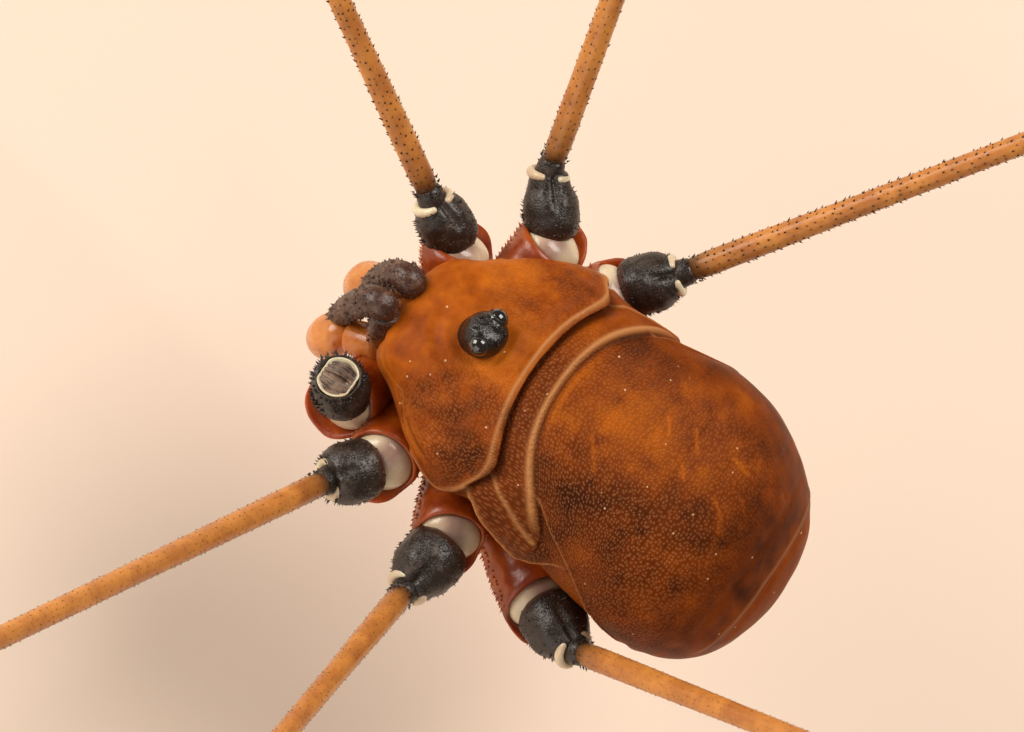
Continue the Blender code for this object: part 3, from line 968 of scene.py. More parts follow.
@dataclass(frozen=True)
class EyeGlass:
    """The polished black lens of an eye."""

    name: str = "eye_lens"
    centre: Colour = (0.0025, 0.0022, 0.0025)
    edge: Colour = (0.012, 0.007, 0.004)

    def make(self) -> bpy.types.Material:
        """The material, with a faint cloud in the black."""
        bench = Bench(self.name)
        cloud = bench.noise(bench.place(), 9000.0, 2.0)
        colour = bench.mix(cloud.graded(0.35, 0.75), self.centre, self.edge)
        rough = 0.04 + cloud * 0.03
        return bench.finish(Base_Color=colour, Roughness=rough, IOR=1.55, Coat_Weight=1.0, Coat_Roughness=0.02)


@dataclass(frozen=True)
class PaleFloor:
    """The plain pale floor."""

    name: str = "pale_floor"
    colour: Colour = (0.86, 0.70, 0.575)

    def make(self) -> bpy.types.Material:
        """The material, with a barely seen cloud."""
        bench = Bench(self.name)
        cloud = bench.noise(bench.place(), 60.0, 2.0)
        colour = bench.mix((cloud.graded(0.3, 0.7) * 0.06).clamped(), self.colour, (0.84, 0.66, 0.53))
        return bench.finish(Base_Color=colour, Roughness=0.9)


@dataclass
class Wardrobe:
    """Every material of the animal, made once."""

    prosoma: bpy.types.Material = field(init=False)
    abdomen: bpy.types.Material = field(init=False)
    black: bpy.types.Material = field(init=False)
    mound: bpy.types.Material = field(init=False)
    palp: bpy.types.Material = field(init=False)
    leg: bpy.types.Material = field(init=False)
    coxa: bpy.types.Material = field(init=False)
    cream: bpy.types.Material = field(init=False)
    amber: bpy.types.Material = field(init=False)
    scar: bpy.types.Material = field(init=False)
    eye: bpy.types.Material = field(init=False)

    def __post_init__(self) -> None:
        """Makes the materials."""
        carapace = BodyCuticle(
            "prosoma_cuticle", brown=(0.26, 0.050, 0.003), orange=(0.49, 0.122, 0.008), dot_spacing_mm=0.050
        )
        self.prosoma = carapace.make()
        self.abdomen = BodyCuticle("abdomen_cuticle").make()
        self.black = DarkCuticle("trochanter_black").make()
        self.mound = DarkCuticle("mound_black", (0.007, 0.005, 0.004), (0.040, 0.022, 0.014), roughness=0.28).make()
        brown, sand, rust = (0.045, 0.014, 0.007), (0.27, 0.135, 0.075), (0.42, 0.12, 0.015)
        self.palp = DarkCuticle("palp_brown", brown, sand, rust, 0.045, 0.40).make()
        self.leg = LegCuticle("leg_tan").make()
        orange, red = (0.42, 0.078, 0.003), (0.20, 0.022, 0.001)
        self.coxa = SoftCuticle("coxa_amber", orange, red, 2200.0, 0.34, 0.45, coat=0.10).make()
        cream = SoftCuticle("joint_cream", (0.80, 0.68, 0.47), (0.62, 0.45, 0.30), 1500.0, 0.24, 0.30)
        self.cream = replace(cream, shade=(0.33, 0.195, 0.16)).make()
        self.scar = SoftCuticle("stump_skin", (0.27, 0.18, 0.13), (0.045, 0.022, 0.014), 6000.0, 0.16, 0.08).make()
        self.amber = SoftCuticle("mouth_amber", (0.76, 0.34, 0.085), (0.52, 0.15, 0.020), 1300.0, 0.28, 0.55).make()
        self.eye = EyeGlass().make()


# The body


@dataclass(frozen=True)
class BackLines:
    """The rims, furrows and folds of the back, as places along and round it.

    Along is s, and round is in degrees off the middle of the back. The lines
    are the same on both sides.
    """

    carapace_rim: Line = (
        (-20.0, 0.738), (0.0, 0.750), (20.0, 0.738), (30.0, 0.757), (53.0, 0.795), (64.0, 0.700),
        (73.0, 0.615), (86.0, 0.543), (93.0, 0.450), (110.0, 0.400), (180.0, 0.400),
    )
    shield_rim: Line = (
        (0.0, 1.225), (15.0, 1.180), (28.0, 1.150), (41.0, 1.162), (52.0, 1.190), (71.0, 1.250), (180.0, 1.30),
    )
    flap_outer: Line = surface_line(
        (0.615, 73), (0.86, 88), (1.08, 94), (1.25, 96), (1.45, 93), (1.75, 85), (2.25, 76)
    )
    flap_inner: Line = surface_line((0.797, 56), (0.927, 65), (1.08, 73), (1.22, 77))
    shield_edge: Line = surface_line(
        (1.19, 50), (1.516, 60), (2.11, 70), (3.157, 85.5), (3.60, 98), (4.10, 104), (4.70, 108), (5.2, 112)
    )
    side_ridge: Line = surface_line((0.615, 73), (0.543, 85), (0.40, 93), (0.10, 97))
    rear_fold: Line = surface_line((4.95, 75), (5.03, 55), (5.08, 30), (5.09, 0))

    def carapace_end(self, degrees: np.ndarray) -> np.ndarray:
        """Where the carapace ends, by degrees off the middle of the back."""
        return sum(np.interp(degrees + step, *zip(*self.carapace_rim)) for step in (-7, -3.5, 0, 3.5, 7)) / 5

    def shield_start(self, degrees: np.ndarray) -> np.ndarray:
        """Where the hind shield starts, by degrees off the middle of the back."""
        return sum(np.interp(np.abs(degrees + step), *zip(*self.shield_rim)) for step in (-6, -3, 0, 3, 6)) / 5


LINES = BackLines()


@dataclass
class SkinGrid:
    """The rows and columns of one body skin, with what lies at each place."""

    s: np.ndarray
    angle: np.ndarray
    fullness: np.ndarray
    across: np.ndarray
    base: np.ndarray = field(init=False)
    degrees: np.ndarray = field(init=False)
    round_mm: np.ndarray = field(init=False)
    back: np.ndarray = field(init=False)

    def __post_init__(self) -> None:
        """Works out the places and the measures that reliefs are drawn by."""
        self.base = FORM.points(self.s, self.angle, self.fullness)
        off = np.degrees(np.abs((self.angle - np.pi / 2 + np.pi) % (2 * np.pi) - np.pi))
        self.degrees = np.broadcast_to(off, self.s.shape)
        self.round_mm = arc(self.degrees)
        self.back = smooth_step(118.0, 98.0, self.degrees)

    def raised(self, height: np.ndarray) -> np.ndarray:
        """The places moved out along the surface's own normals.

        Args:
            height: millimetres at each place.

        Returns:
            The moved places.
        """
        down = np.gradient(self.base, axis=0)
        ahead = np.roll(self.base, -1, axis=1) - np.roll(self.base, 1, axis=1)
        normal = np.cross(ahead, down)
        length = np.linalg.norm(normal, axis=-1, keepdims=True)
        normal = normal / np.maximum(length, 1e-12)
        middle = self.base.mean(axis=1, keepdims=True)
        outward = np.sign(((self.base - middle) * normal).sum(axis=-1, keepdims=True))
        flip = 1.0 if (outward[2:-2] >= 0).mean() > 0.5 else -1.0
        return self.base + flip * normal * height[..., None]


def even_angles(back_columns: int, belly_columns: int) -> tuple[np.ndarray, np.ndarray]:
    """Angles round the body, evenly apart on the surface, fine on the back.

    Args:
        back_columns: how many lie from side to side over the back.
        belly_columns: how many lie under the belly.

    Returns:
        The angles from the middle of the belly round by the left side, and the
        distances round the body with the seam's end added.
    """
    fine = np.linspace(-np.pi / 2, 1.5 * np.pi, 4001)
    ring = FORM.points(np.full(fine.shape, 2.0), fine)
    travelled = np.concatenate([[0.0], np.cumsum(np.linalg.norm(np.diff(ring, axis=0), axis=1))])
    low = np.interp(math.radians(-12), fine, travelled)
    high = np.interp(math.radians(192), fine, travelled)
    half_belly = belly_columns // 2
    stops = np.concatenate(
        [
            np.linspace(0.0, low, half_belly, endpoint=False),
            np.linspace(low, high, back_columns, endpoint=False),
            np.linspace(high, travelled[-1], half_belly, endpoint=False),
        ]
    )
    return np.interp(stops, travelled, fine), np.concatenate([stops, travelled[-1:]])


@dataclass
class Prosoma:
    """The front of the body: carapace, its slope above the mouthparts, and its underside."""

    shop: Workshop
    clouds: Cloud = field(default_factory=lambda: Cloud(11))
    back_columns: int = 320
    belly_columns: int = 60
    front_rows: int = 52
    middle_rows: int = 128
    pore_place: tuple[float, float] = (-0.455, 72.0)
    pore_half: tuple[float, float] = (0.085, 0.125)

    def grid(self) -> SkinGrid:
        """Rows from the front tip back to the rim, then down inside the body."""
        angle, across = even_angles(self.back_columns, self.belly_columns)
        off = np.degrees(np.abs(angle - np.pi / 2))
        end = LINES.carapace_end(off)
        turn = np.pi / 2 * np.arange(self.front_rows, 0, -1) / self.front_rows
        front = FORM.front_round_y + (FORM.front_y - FORM.front_round_y) * np.sin(turn)
        share = np.linspace(0.0, 1.0, self.middle_rows)
        middle = FORM.front_round_y + (end[None] + 0.02 - FORM.front_round_y) * share[:, None]
        inside = np.array([0.985, 0.96, 0.92, 0.86, 0.6, 0.0])
        wall = (end + 0.02)[None] + np.array([0.012, 0.014, 0.012, 0.0, -0.02, -0.02])[:, None]
        s = np.concatenate([np.repeat(front[:, None], len(angle), axis=1), middle, wall])
        full = np.ones_like(s)
        full[-len(inside) :] = inside[:, None]
        return SkinGrid(s, np.broadcast_to(angle, s.shape), full, across)

    def relief(self, grid: SkinGrid) -> np.ndarray:
        """How far each place of the skin stands out, in millimetres."""
        s, degrees, back = grid.s, grid.degrees, grid.back
        end = LINES.carapace_end(degrees)
        to_rim = end - s
        height = 0.038 * bell(to_rim - 0.030, 0.038) * smooth_step(92, 70, degrees)
        height -= 0.16 * bell(s + 0.62, 0.42) * bell(degrees - 88, 26)
        height -= 0.030 * bell(to_rim - 0.15, 0.06) * smooth_step(80, 40, degrees)
        height += 0.022 * bell(to_rim - 0.33, 0.07) * smooth_step(70, 10, degrees)
        height += 0.045 * bell(line_distance(s, grid.round_mm, LINES.side_ridge), 0.05) * back
        swell = self.clouds.at(grid.base, 0.42) * 0.022 + self.clouds.at(grid.base, 0.17) * 0.008
        height += swell * back * smooth_step(-0.95, -0.6, s)
        for place, angle, width, depth in (
            (0.10, 50.0, 0.16, -0.055), (-0.28, 47.0, 0.12, -0.040), (0.38, 60.0, 0.12, -0.030),
            (0.30, 22.0, 0.13, -0.020), (-0.15, 30.0, 0.20, 0.020), (0.05, 68.0, 0.10, 0.030),
        ):
            height += depth * bell(np.hypot(s - place, grid.round_mm - arc(angle)), width)
        around = np.hypot(grid.base[..., 0], grid.base[..., 1])
        height += (0.022 * bell(around - 0.46, 0.07) - 0.018 * bell(around - 0.62, 0.06)) * back
        height += 0.05 * bell(np.hypot(grid.base[..., 0], grid.base[..., 1] + 0.05), 0.30) * back
        rough = self.clouds.at(grid.base, 0.055) * self.grain(grid)
        height += rough * 0.0075
        inner = self.pore_distance(grid)
        height += 0.022 * bell(inner - 1.0, 0.22) - 0.035 * bell(inner, 0.55)
        gutter = bell(degrees - 84.0, 7.0) * smooth_step(0.40, 0.15, s) * smooth_step(-0.9, -0.6, s)
        return height - 0.05 * gutter

    def pore_distance(self, grid: SkinGrid) -> np.ndarray:
        """Distance from the scent gland's opening, as 1 on its ring."""
        along = (grid.s - self.pore_place[0]) / self.pore_half[0]
        across = (grid.round_mm - arc(self.pore_place[1])) / self.pore_half[1]
        return np.hypot(along, across)

    def grain(self, grid: SkinGrid) -> np.ndarray:
        """How granular each place is, from smooth at the front to rough at the rear sides."""
        x, y = grid.base[..., 0], grid.base[..., 1]
        rear_side = smooth_step(-0.35, 0.25, y + 0.55 * np.abs(x) - 0.15)
        rear_side = np.maximum(rear_side * smooth_step(0.15, 0.55, np.abs(x)), 0.35 * smooth_step(0.1, 0.5, y))
        patch = 0.75 + 0.5 * self.clouds.at(grid.base, 0.25)
        right = np.where(x < 0, 0.55, 1.0)
        return np.clip(rear_side * patch * right, 0, 1) * grid.back * smooth_step(100, 84, grid.degrees)

    def marks(self, grid: SkinGrid) -> Marks:
        """The values that the cuticle's colours follow."""
        x, y, s = grid.base[..., 0], grid.base[..., 1], grid.s
        degrees, back = grid.degrees, grid.back
        end = LINES.carapace_end(degrees)
        tone = 0.70 + 0.22 * self.clouds.at(grid.base, 0.35) + 0.14 * self.clouds.at(grid.base, 0.12)
        tone -= 0.38 * smooth_step(0.05, 0.5, y) * smooth_step(0.25, 0.75, x)
        tone -= 0.22 * smooth_step(0.0, 0.6, y) * smooth_step(0.3, 0.9, -x)
        tone -= 0.36 * bell(np.hypot(x - 1.15, y + 0.05), 0.34)
        tone -= 0.30 * bell(np.hypot(x - 0.72, y + 0.72), 0.16)
        tone -= 0.28 * bell(np.hypot(x - 0.25, y + 0.85), 0.13)
        tone -= 0.20 * bell(np.hypot(x + 0.45, y + 0.30), 0.22)
        tone -= 0.22 * bell(np.hypot(x + 0.75, y - 0.25), 0.20)
        tone += 0.30 * bell(np.hypot(x - 0.25, y - 0.38), 0.30)
        tone += 0.25 * bell(np.hypot(x + 1.1, y + 0.2), 0.40)
        tone += 0.35 * bell(degrees - 86.0, 9.0) * smooth_step(0.45, 0.1, s)
        rim = bell(end - s - 0.030, 0.032) * smooth_step(96, 74, degrees) * (0.90 - 0.20 * smooth_step(0.2, 1.0, x))
        rim = np.maximum(rim, 0.75 * bell(line_distance(s, grid.round_mm, LINES.side_ridge), 0.035) * back)
        rim = np.maximum(rim, 0.40 * bell(self.pore_distance(grid) - 1.0, 0.20))
        # Painted shade over the dark membrane: the rows that dip inside the body under the rim, and a crease on the
        # front slope, darkened through the mark slot.
        gone = grid.fullness < 0.99
        slot = np.where(gone, 1.0, 0.0) * smooth_step(100, 80, degrees)
        crease = 0.55 * bell(degrees - 76.0, 2.2) * smooth_step(0.35, 0.2, s) * smooth_step(-0.75, -0.5, s)
        slot = np.maximum(slot, crease)
        belly = smooth_step(92, 112, degrees) * 0.85
        marks = {"tone": np.clip(tone, 0, 1), "rim": rim, "slot": slot, "grain": self.grain(grid), "belly": belly}
        return Marks({**marks, "back": back})

    def build(self, material: bpy.types.Material) -> bpy.types.Object:
        """The dressed skin."""
        grid = self.grid()
        made = self.shop.wrapped_ball("prosoma_skin", grid.raised(self.relief(grid)), self.marks(grid), grid.across)
        return self.shop.dress(made, material)


@dataclass
class Abdomen:
    """The hind body: the band behind the carapace, the side flaps, the granular shield and the belly."""

    shop: Workshop
    clouds: Cloud = field(default_factory=lambda: Cloud(23))
    back_columns: int = 272
    belly_columns: int = 60
    band_rows: int = 62
    shield_rows: int = 128
    rear_rows: int = 74

    def grid(self) -> SkinGrid:
        """Rows from inside the prosoma, up out of its furrow and back to the tail."""
        angle, across = even_angles(self.back_columns, self.belly_columns)
        off = np.degrees(np.abs(angle - np.pi / 2))
        start = LINES.carapace_end(off) - 0.10
        inside = np.array([0.0, 0.5, 0.80])
        share = np.linspace(0.0, 1.0, self.band_rows)
        band = start[None] + (1.45 - start[None]) * share[:, None]
        shield = np.linspace(1.45, FORM.rear_round_y, self.shield_rows + 1)[1:]
        turn = np.pi / 2 * np.arange(1, self.rear_rows + 1) / self.rear_rows
        rear = FORM.rear_round_y + (FORM.rear_y - FORM.rear_round_y) * np.sin(turn)
        rest = np.repeat(np.concatenate([shield, rear])[:, None], len(angle), axis=1)
        s = np.concatenate([np.repeat(start[None], len(inside), axis=0), band, rest])
        full = np.ones_like(s)
        full[: len(inside)] = inside[:, None]
        return SkinGrid(s, np.broadcast_to(angle, s.shape), full, across)

    def relief(self, grid: SkinGrid) -> np.ndarray:
        """How far each place of the skin stands out, in millimetres."""
        s, degrees, back, round_mm = grid.s, grid.degrees, grid.back, grid.round_mm
        end = LINES.carapace_end(degrees)
        shield = LINES.shield_start(degrees)
        height = -0.10 * smooth_step(end + 0.20, end + 0.01, s) * smooth_step(112, 70, degrees)
        height -= 0.05 * smooth_step(end + 0.2, end, s) * (1 - smooth_step(112, 70, degrees))
        rim_share = smooth_step(78, 58, degrees)
        height += 0.052 * bell(s - shield + 0.045, 0.048) * rim_share
        height -= 0.022 * bell(s - shield - 0.045, 0.035) * rim_share
        height += 0.022 * smooth_step(shield + 0.02, shield + 0.25, s) * rim_share
        edge = line_distance(s, round_mm, LINES.shield_edge)
        edge_round = np.interp(s, *zip(*LINES.shield_edge))
        outside = smooth_step(-0.02, 0.05, round_mm - edge_round) * smooth_step(1.15, 1.35, s)
        height += 0.030 * bell(edge, 0.045) * smooth_step(5.2, 4.4, s) - 0.045 * outside * back
        flap = line_distance(s, round_mm, LINES.flap_outer)
        inside_flap = self.flap_share(grid) * (0.15 + 0.85 * smooth_step(-0.3, 0.3, grid.base[..., 0]))
        flap_ends = (smooth_step(1.95, 1.20, s), smooth_step(0.66, 0.98, s))
        height += 0.19 * inside_flap * flap_ends[0] * flap_ends[1] * smooth_step(55, 100, degrees)
        height += 0.035 * bell(flap, 0.045) * smooth_step(2.3, 1.5, s)
        height += 0.030 * bell(line_distance(s, round_mm, LINES.flap_inner), 0.03)
        swell = self.clouds.at(grid.base, 0.75) * 0.020 + self.clouds.at(grid.base, 0.22) * 0.006
        height += swell * back * smooth_step(1.3, 1.6, s)
        right = smooth_step(0.2, -0.6, grid.base[..., 0])
        height -= 0.10 * bell(s - 1.80, 0.85) * bell(degrees - 85, 30) * right
        height -= 0.05 * bell(s - 4.7, 0.6) * bell(degrees - 60, 40) * right
        for place in (1.95, 2.55, 3.15, 3.72, 4.25, 4.70):
            wave = self.clouds.at(grid.base, 0.5) * 0.05
            height -= 0.010 * bell(s - place + wave, 0.05) * back * smooth_step(70, 40, degrees)
            pit = np.hypot(s - place + 0.10, round_mm - arc(29.0 - (place - 2.0) * 1.5))
            height -= 0.020 * bell(pit, 0.05)
        fold = line_distance(s, round_mm, LINES.rear_fold)
        height += (0.012 * bell(fold, 0.03) - 0.026 * bell(s - 5.15, 0.05) * smooth_step(80, 40, degrees)) * back
        under = 1 - back
        for place in (1.75, 2.35, 2.95, 3.55, 4.15, 4.75):
            height -= 0.035 * bell(s - place, 0.05) * under
        plate = smooth_step(0.62, 0.5, np.abs(grid.base[..., 0]) + 0.25 * smooth_step(1.6, 0.7, s)) * under
        height += 0.06 * plate * smooth_step(2.2, 2.05, s)
        return height + self.clouds.at(grid.base, 0.05) * 0.005 * self.grain(grid)

    def flap_share(self, grid: SkinGrid) -> np.ndarray:
        """1 on the side flap between its inner and outer lines."""
        inner = np.interp(grid.s, (0.60, 0.797, 0.927, 1.08, 1.22, 1.6, 2.14), (70, 56, 65, 73, 77, 76, 72))
        outer = np.interp(grid.s, (0.60, 0.86, 1.08, 1.25, 1.45, 1.75, 2.25), (74, 91, 97, 99, 96, 88, 76))
        return smooth_step(-3, 3, grid.degrees - inner) * smooth_step(4, -3, grid.degrees - outer)

    def grain(self, grid: SkinGrid) -> np.ndarray:
        """How granular each place is: densest on the band and the shield's left side."""
        s, x = grid.s, grid.base[..., 0]
        shield = smooth_step(4.9, 3.6, s) * (0.62 + 0.38 * smooth_step(0.0, 1.0, x))
        shield *= 1 - 0.75 * smooth_step(0.7, 1.4, -x)
        band = np.where(s < LINES.shield_start(grid.degrees), 0.85 * smooth_step(-1.5, -0.2, x), shield)
        return np.clip(band, 0, 1) * grid.back * smooth_step(108, 96, grid.degrees)

    def marks(self, grid: SkinGrid) -> Marks:
        """The values that the cuticle's colours follow."""
        s, degrees, back, round_mm = grid.s, grid.degrees, grid.back, grid.round_mm
        x, y = grid.base[..., 0], grid.base[..., 1]
        shield = LINES.shield_start(degrees)
        end = LINES.carapace_end(degrees)
        tone = 0.36 + 0.24 * self.clouds.at(grid.base, 0.55) + 0.20 * self.clouds.at(grid.base, 0.2)
        tone += 0.62 * bell(np.hypot((x + 0.12) / 1.1, y - 1.95), 0.66)
        tone += 0.25 * bell(np.hypot(x + 0.15, (y - 3.0) / 1.6), 0.40)
        tone += 0.20 * bell(np.hypot(x + 1.2, (y - 3.6) / 1.4), 0.5)
        tone -= 0.30 * bell(np.hypot((x - 1.15) / 0.75, (y - 2.4) / 1.5), 0.62)
        tone -= 0.26 * bell(np.hypot(x - 0.5, (y - 3.7) / 0.8), 0.42)
        tone -= 0.20 * bell(np.hypot(x + 1.1, (y - 2.0) / 1.2), 0.36)
        for bx, by, size, depth in (
            (-0.29, 1.96, 0.10, 0.30), (0.33, 2.02, 0.09, 0.30), (0.49, 1.55, 0.10, 0.24),
            (-1.16, 4.0, 0.16, 0.30), (1.17, 4.04, 0.14, 0.25), (0.14, 3.61, 0.14, 0.2),
            (0.86, 2.28, 0.05, 0.3), (1.10, 3.02, 0.05, 0.3), (0.97, 3.19, 0.05, 0.3), (0.36, 4.20, 0.05, 0.3),
        ):
            tone -= depth * bell(np.hypot(x - bx, y - by), size)
        gold = np.full(s.shape, np.inf)
        for line in (
            ((3.02, -0.60), (3.12, -0.45), (3.22, -0.33)), ((3.65, -0.62), (3.85, -0.60), (3.96, -0.57)),
            ((3.76, 0.0), (3.95, 0.12), (4.09, 0.31)), ((4.08, -0.27), (4.15, -0.2), (4.22, -0.15)),
            ((1.92, 0.36), (2.05, 0.52), (2.21, 0.71)), ((3.12, -0.08), (3.26, 0.08)), ((2.62, -0.5), (2.75, -0.3)),
        ):
            gold = np.minimum(gold, line_distance(y, x, line))
        tone += 0.36 * bell(gold, 0.028) * back
        band = smooth_step(shield + 0.01, shield - 0.02, s)
        band_tone = 0.30 + 0.30 * smooth_step(0.4, -0.9, x) + 0.12 * self.clouds.at(grid.base, 0.3)
        tone = tone * (1 - band) + band * band_tone
        tone += 0.25 * bell(s - shield - 0.10, 0.05) * smooth_step(40, 0, degrees)
        rear = smooth_step(5.05, 5.2, s) * back
        tone = tone * (1 - rear) + 0.52 * rear
        below_edge = round_mm - np.interp(s, *zip(*LINES.shield_edge))
        low_side = smooth_step(0.02, 0.10, below_edge) * smooth_step(1.5, 2.2, s) * back
        tone = tone * (1 - low_side) + 0.58 * low_side
        rim = bell(s - shield + 0.042, 0.040) * smooth_step(76, 56, degrees)
        flap = line_distance(s, round_mm, LINES.flap_outer)
        rim = np.maximum(rim, 0.95 * bell(flap, 0.030) * smooth_step(2.3, 1.7, s))
        rim = np.maximum(rim, 0.80 * bell(line_distance(s, round_mm, LINES.flap_inner), 0.022))
        edge = line_distance(s, round_mm, LINES.shield_edge)
        rim = np.maximum(rim, 0.60 * bell(edge, 0.026) * smooth_step(4.4, 3.2, s))
        rim = np.maximum(rim, 0.45 * bell(line_distance(s, round_mm, LINES.rear_fold), 0.022) * back)
        # Painted shade over the dark membrane: the furrow behind the carapace, the groove at the shield's rim and the
        # low side under the shield's edge, darkened through the mark slot.
        slot = 0.85 * smooth_step(end + 0.16, end + 0.04, s) * smooth_step(104, 80, degrees)
        slot = np.maximum(slot, 0.55 * bell(s - shield - 0.018, 0.016) * smooth_step(70, 50, degrees))
        outer_side = bell(line_distance(s, round_mm - 0.10, LINES.shield_edge), 0.07) * smooth_step(1.2, 1.6, s)
        slot = np.maximum(slot, 0.35 * outer_side * smooth_step(3.6, 2.6, s))
        belly = smooth_step(102, 122, degrees) * 0.8
        marks = {"tone": np.clip(tone, 0, 1), "rim": rim, "slot": slot, "grain": self.grain(grid), "belly": belly}
        return Marks({**marks, "back": back})

    def build(self, material: bpy.types.Material) -> bpy.types.Object:
        """The dressed skin."""
        grid = self.grid()
        made = self.shop.wrapped_ball("abdomen_skin", grid.raised(self.relief(grid)), self.marks(grid), grid.across)
        return self.shop.dress(made, material)


@dataclass
class EyeMound:
    """The black mound on the carapace, with its two eyes and its small warts."""

    shop: Workshop
    half_width: float = 0.345
    half_length: float = 0.335
    top: float = 0.20
    eye_radius: float = 0.148
    eye_out: float = 0.218
    eye_up: float = 0.065
    columns: int = 96
    rows: int = 48
    clouds: Cloud = field(default_factory=lambda: Cloud(5))

    def rings(self) -> np.ndarray:
        """Rows from a foot inside the carapace, up over the mound."""
        turn = 2 * np.pi * np.arange(self.columns) / self.columns
        rows = []
        for index in range(self.rows + 1):
            rise = -0.55 + (1.0 + 0.55) * index / self.rows
            lift = math.sin(max(rise, 0.0) * math.pi / 2)
            wide = math.cos(max(rise, 0.0) * math.pi / 2) ** 0.62
            wide *= 1.0 - 0.10 * bell(np.array(rise), 0.25)
            x = self.half_width * wide * np.cos(turn)
            y = self.half_length * wide * np.sin(turn)
            foot = FORM.back_height(0.2, 0.0)
            z = foot + (self.top - foot) * lift + min(rise, 0.0) * 0.35
            z = z - 0.030 * bell(x, 0.09) * smooth_step(0.5, 1.0, np.array(rise))
            rows.append(np.stack([x, y, np.broadcast_to(z, x.shape)], axis=-1))
        laid = np.array(rows)
        laid[0] = laid[0].mean(axis=0)
        wrinkles = self.clouds.at(laid, 0.05) * 0.0015 + self.clouds.at(laid, 0.13) * 0.005
        middle = np.array((0.0, 0.0, -0.1))
        outward = laid - middle
        outward /= np.maximum(np.linalg.norm(outward, axis=-1, keepdims=True), 1e-9)
        return laid + outward * wrinkles[..., None]

    def warts(self) -> list[bpy.types.Object]:
        """The two short rows of small pointed warts over the eyes."""
        made = []
        for side in Side:
            for index, y in enumerate((-0.20, -0.07, 0.07, 0.20)):
                x = side.value * (0.115 - 0.02 * abs(index - 1.5))
                foot = Vector((x, y, self.top - 0.035 - 0.5 * y * y))
                tip = foot + Vector((side.value * 0.01, 0.0, 0.055))
                path = [foot, foot.lerp(tip, 0.5), foot.lerp(tip, 0.8), tip]
                made.append(self.shop.drawn_limb("wart", path, [0.026, 0.019, 0.010, 0.003], 10))
        return made

    def build(self, black: bpy.types.Material, lens: bpy.types.Material) -> list[bpy.types.Object]:
        """The mound and its two eyes."""
        mound = self.shop.wrapped_ball("eye_mound_skin", self.rings())
        collars = []
        for side in Side:
            middle = Vector((side.value * self.eye_out, 0.0, self.eye_up))
            outward = Vector((side.value * math.sin(math.radians(54)), 0.0, math.cos(math.radians(54))))
            self.shop.start_clean()
            bpy.ops.mesh.primitive_torus_add(
                major_radius=0.136 * MM,
                minor_radius=0.014 * MM,
                major_segments=40,
                minor_segments=12,
                location=self.shop.place(middle + outward * 0.045),
                rotation=outward.to_track_quat("Z", "Y").to_euler(),
            )
            collars.append(self.shop.settle(self.shop.named("collar")))
        mound = self.shop.join("eye_mound_skin", [mound, *collars, *self.warts()])
        pieces = [self.shop.dress(mound, black)]
        for side in Side:
            middle = Vector((side.value * self.eye_out, 0.0, self.eye_up))
            turn = Vector((side.value * 0.81, 0.0, 0.59)).to_track_quat("Z", "Y")
            radii = (self.eye_radius, self.eye_radius, self.eye_radius)
            eye = self.shop.ball(f"eye_lens_{side.word}", middle, radii, turn, 48, 32)
            pieces.append(self.shop.dress(eye, lens))
        return pieces


# Legs


def heading_vector(side: Side, heading_deg: float, rise_deg: float) -> Vector:
    """A unit vector from a heading towards one side and a rise, in degrees."""
    heading, rise = math.radians(heading_deg), math.radians(rise_deg)
    level = math.cos(rise)
    return Vector((side.value * level * math.sin(heading), -level * math.cos(heading), math.sin(rise)))


@dataclass(frozen=True)
class LegPlan:
    """One leg: where its coxa starts and ends, how its pieces point, and their lengths.

    Headings are from straight ahead towards the leg's own side, and rises from
    the level. A leg without lengths is lost beyond its trochanter.
    """

    side: Side
    pair: int
    coxa_root: Row
    coxa_end: Row
    trochanter_heading: float
    trochanter_rise: float
    femur_heading: float = 0.0
    femur_rise: float = 0.0
    lengths: Row = ()
    barrel_radius: float = 0.43
    lip_tilt: float = 0.12
    shift: Row = (0.0, 0.0, 0.0)
    reach: float = 0.0
    thorn_size: float = 0.75

    @property
    def name(self) -> str:
        """The leg's name as it stands in its nodes' names."""
        return f"{self.side.word}_{self.pair}"

    @property
    def joint(self) -> Vector:
        """The middle of the joint between coxa and trochanter."""
        return Vector(self.coxa_end) + Vector(self.shift)

    @property
    def hip(self) -> Vector:
        """Where the trochanter ends and the femur starts."""
        return Vector(self.coxa_end) + self.barrel_way * (0.85 + self.reach)

    @property
    def barrel_way(self) -> Vector:
        """The way that the trochanter points."""
        return heading_vector(self.side, self.trochanter_heading, self.trochanter_rise)

    @property
    def femur_way(self) -> Vector:
        """The way that the femur points."""
        return heading_vector(self.side, self.femur_heading, self.femur_rise)


SHORT_1: Row = (6.8, 1.2, 6.0, 6.5, 11.0)
LONG_2: Row = (12.0, 1.5, 11.0, 11.0, 21.0)
SHORT_3: Row = (6.8, 1.2, 5.6, 8.0, 10.5)
LONG_4: Row = (9.6, 1.3, 8.2, 12.0, 14.0)

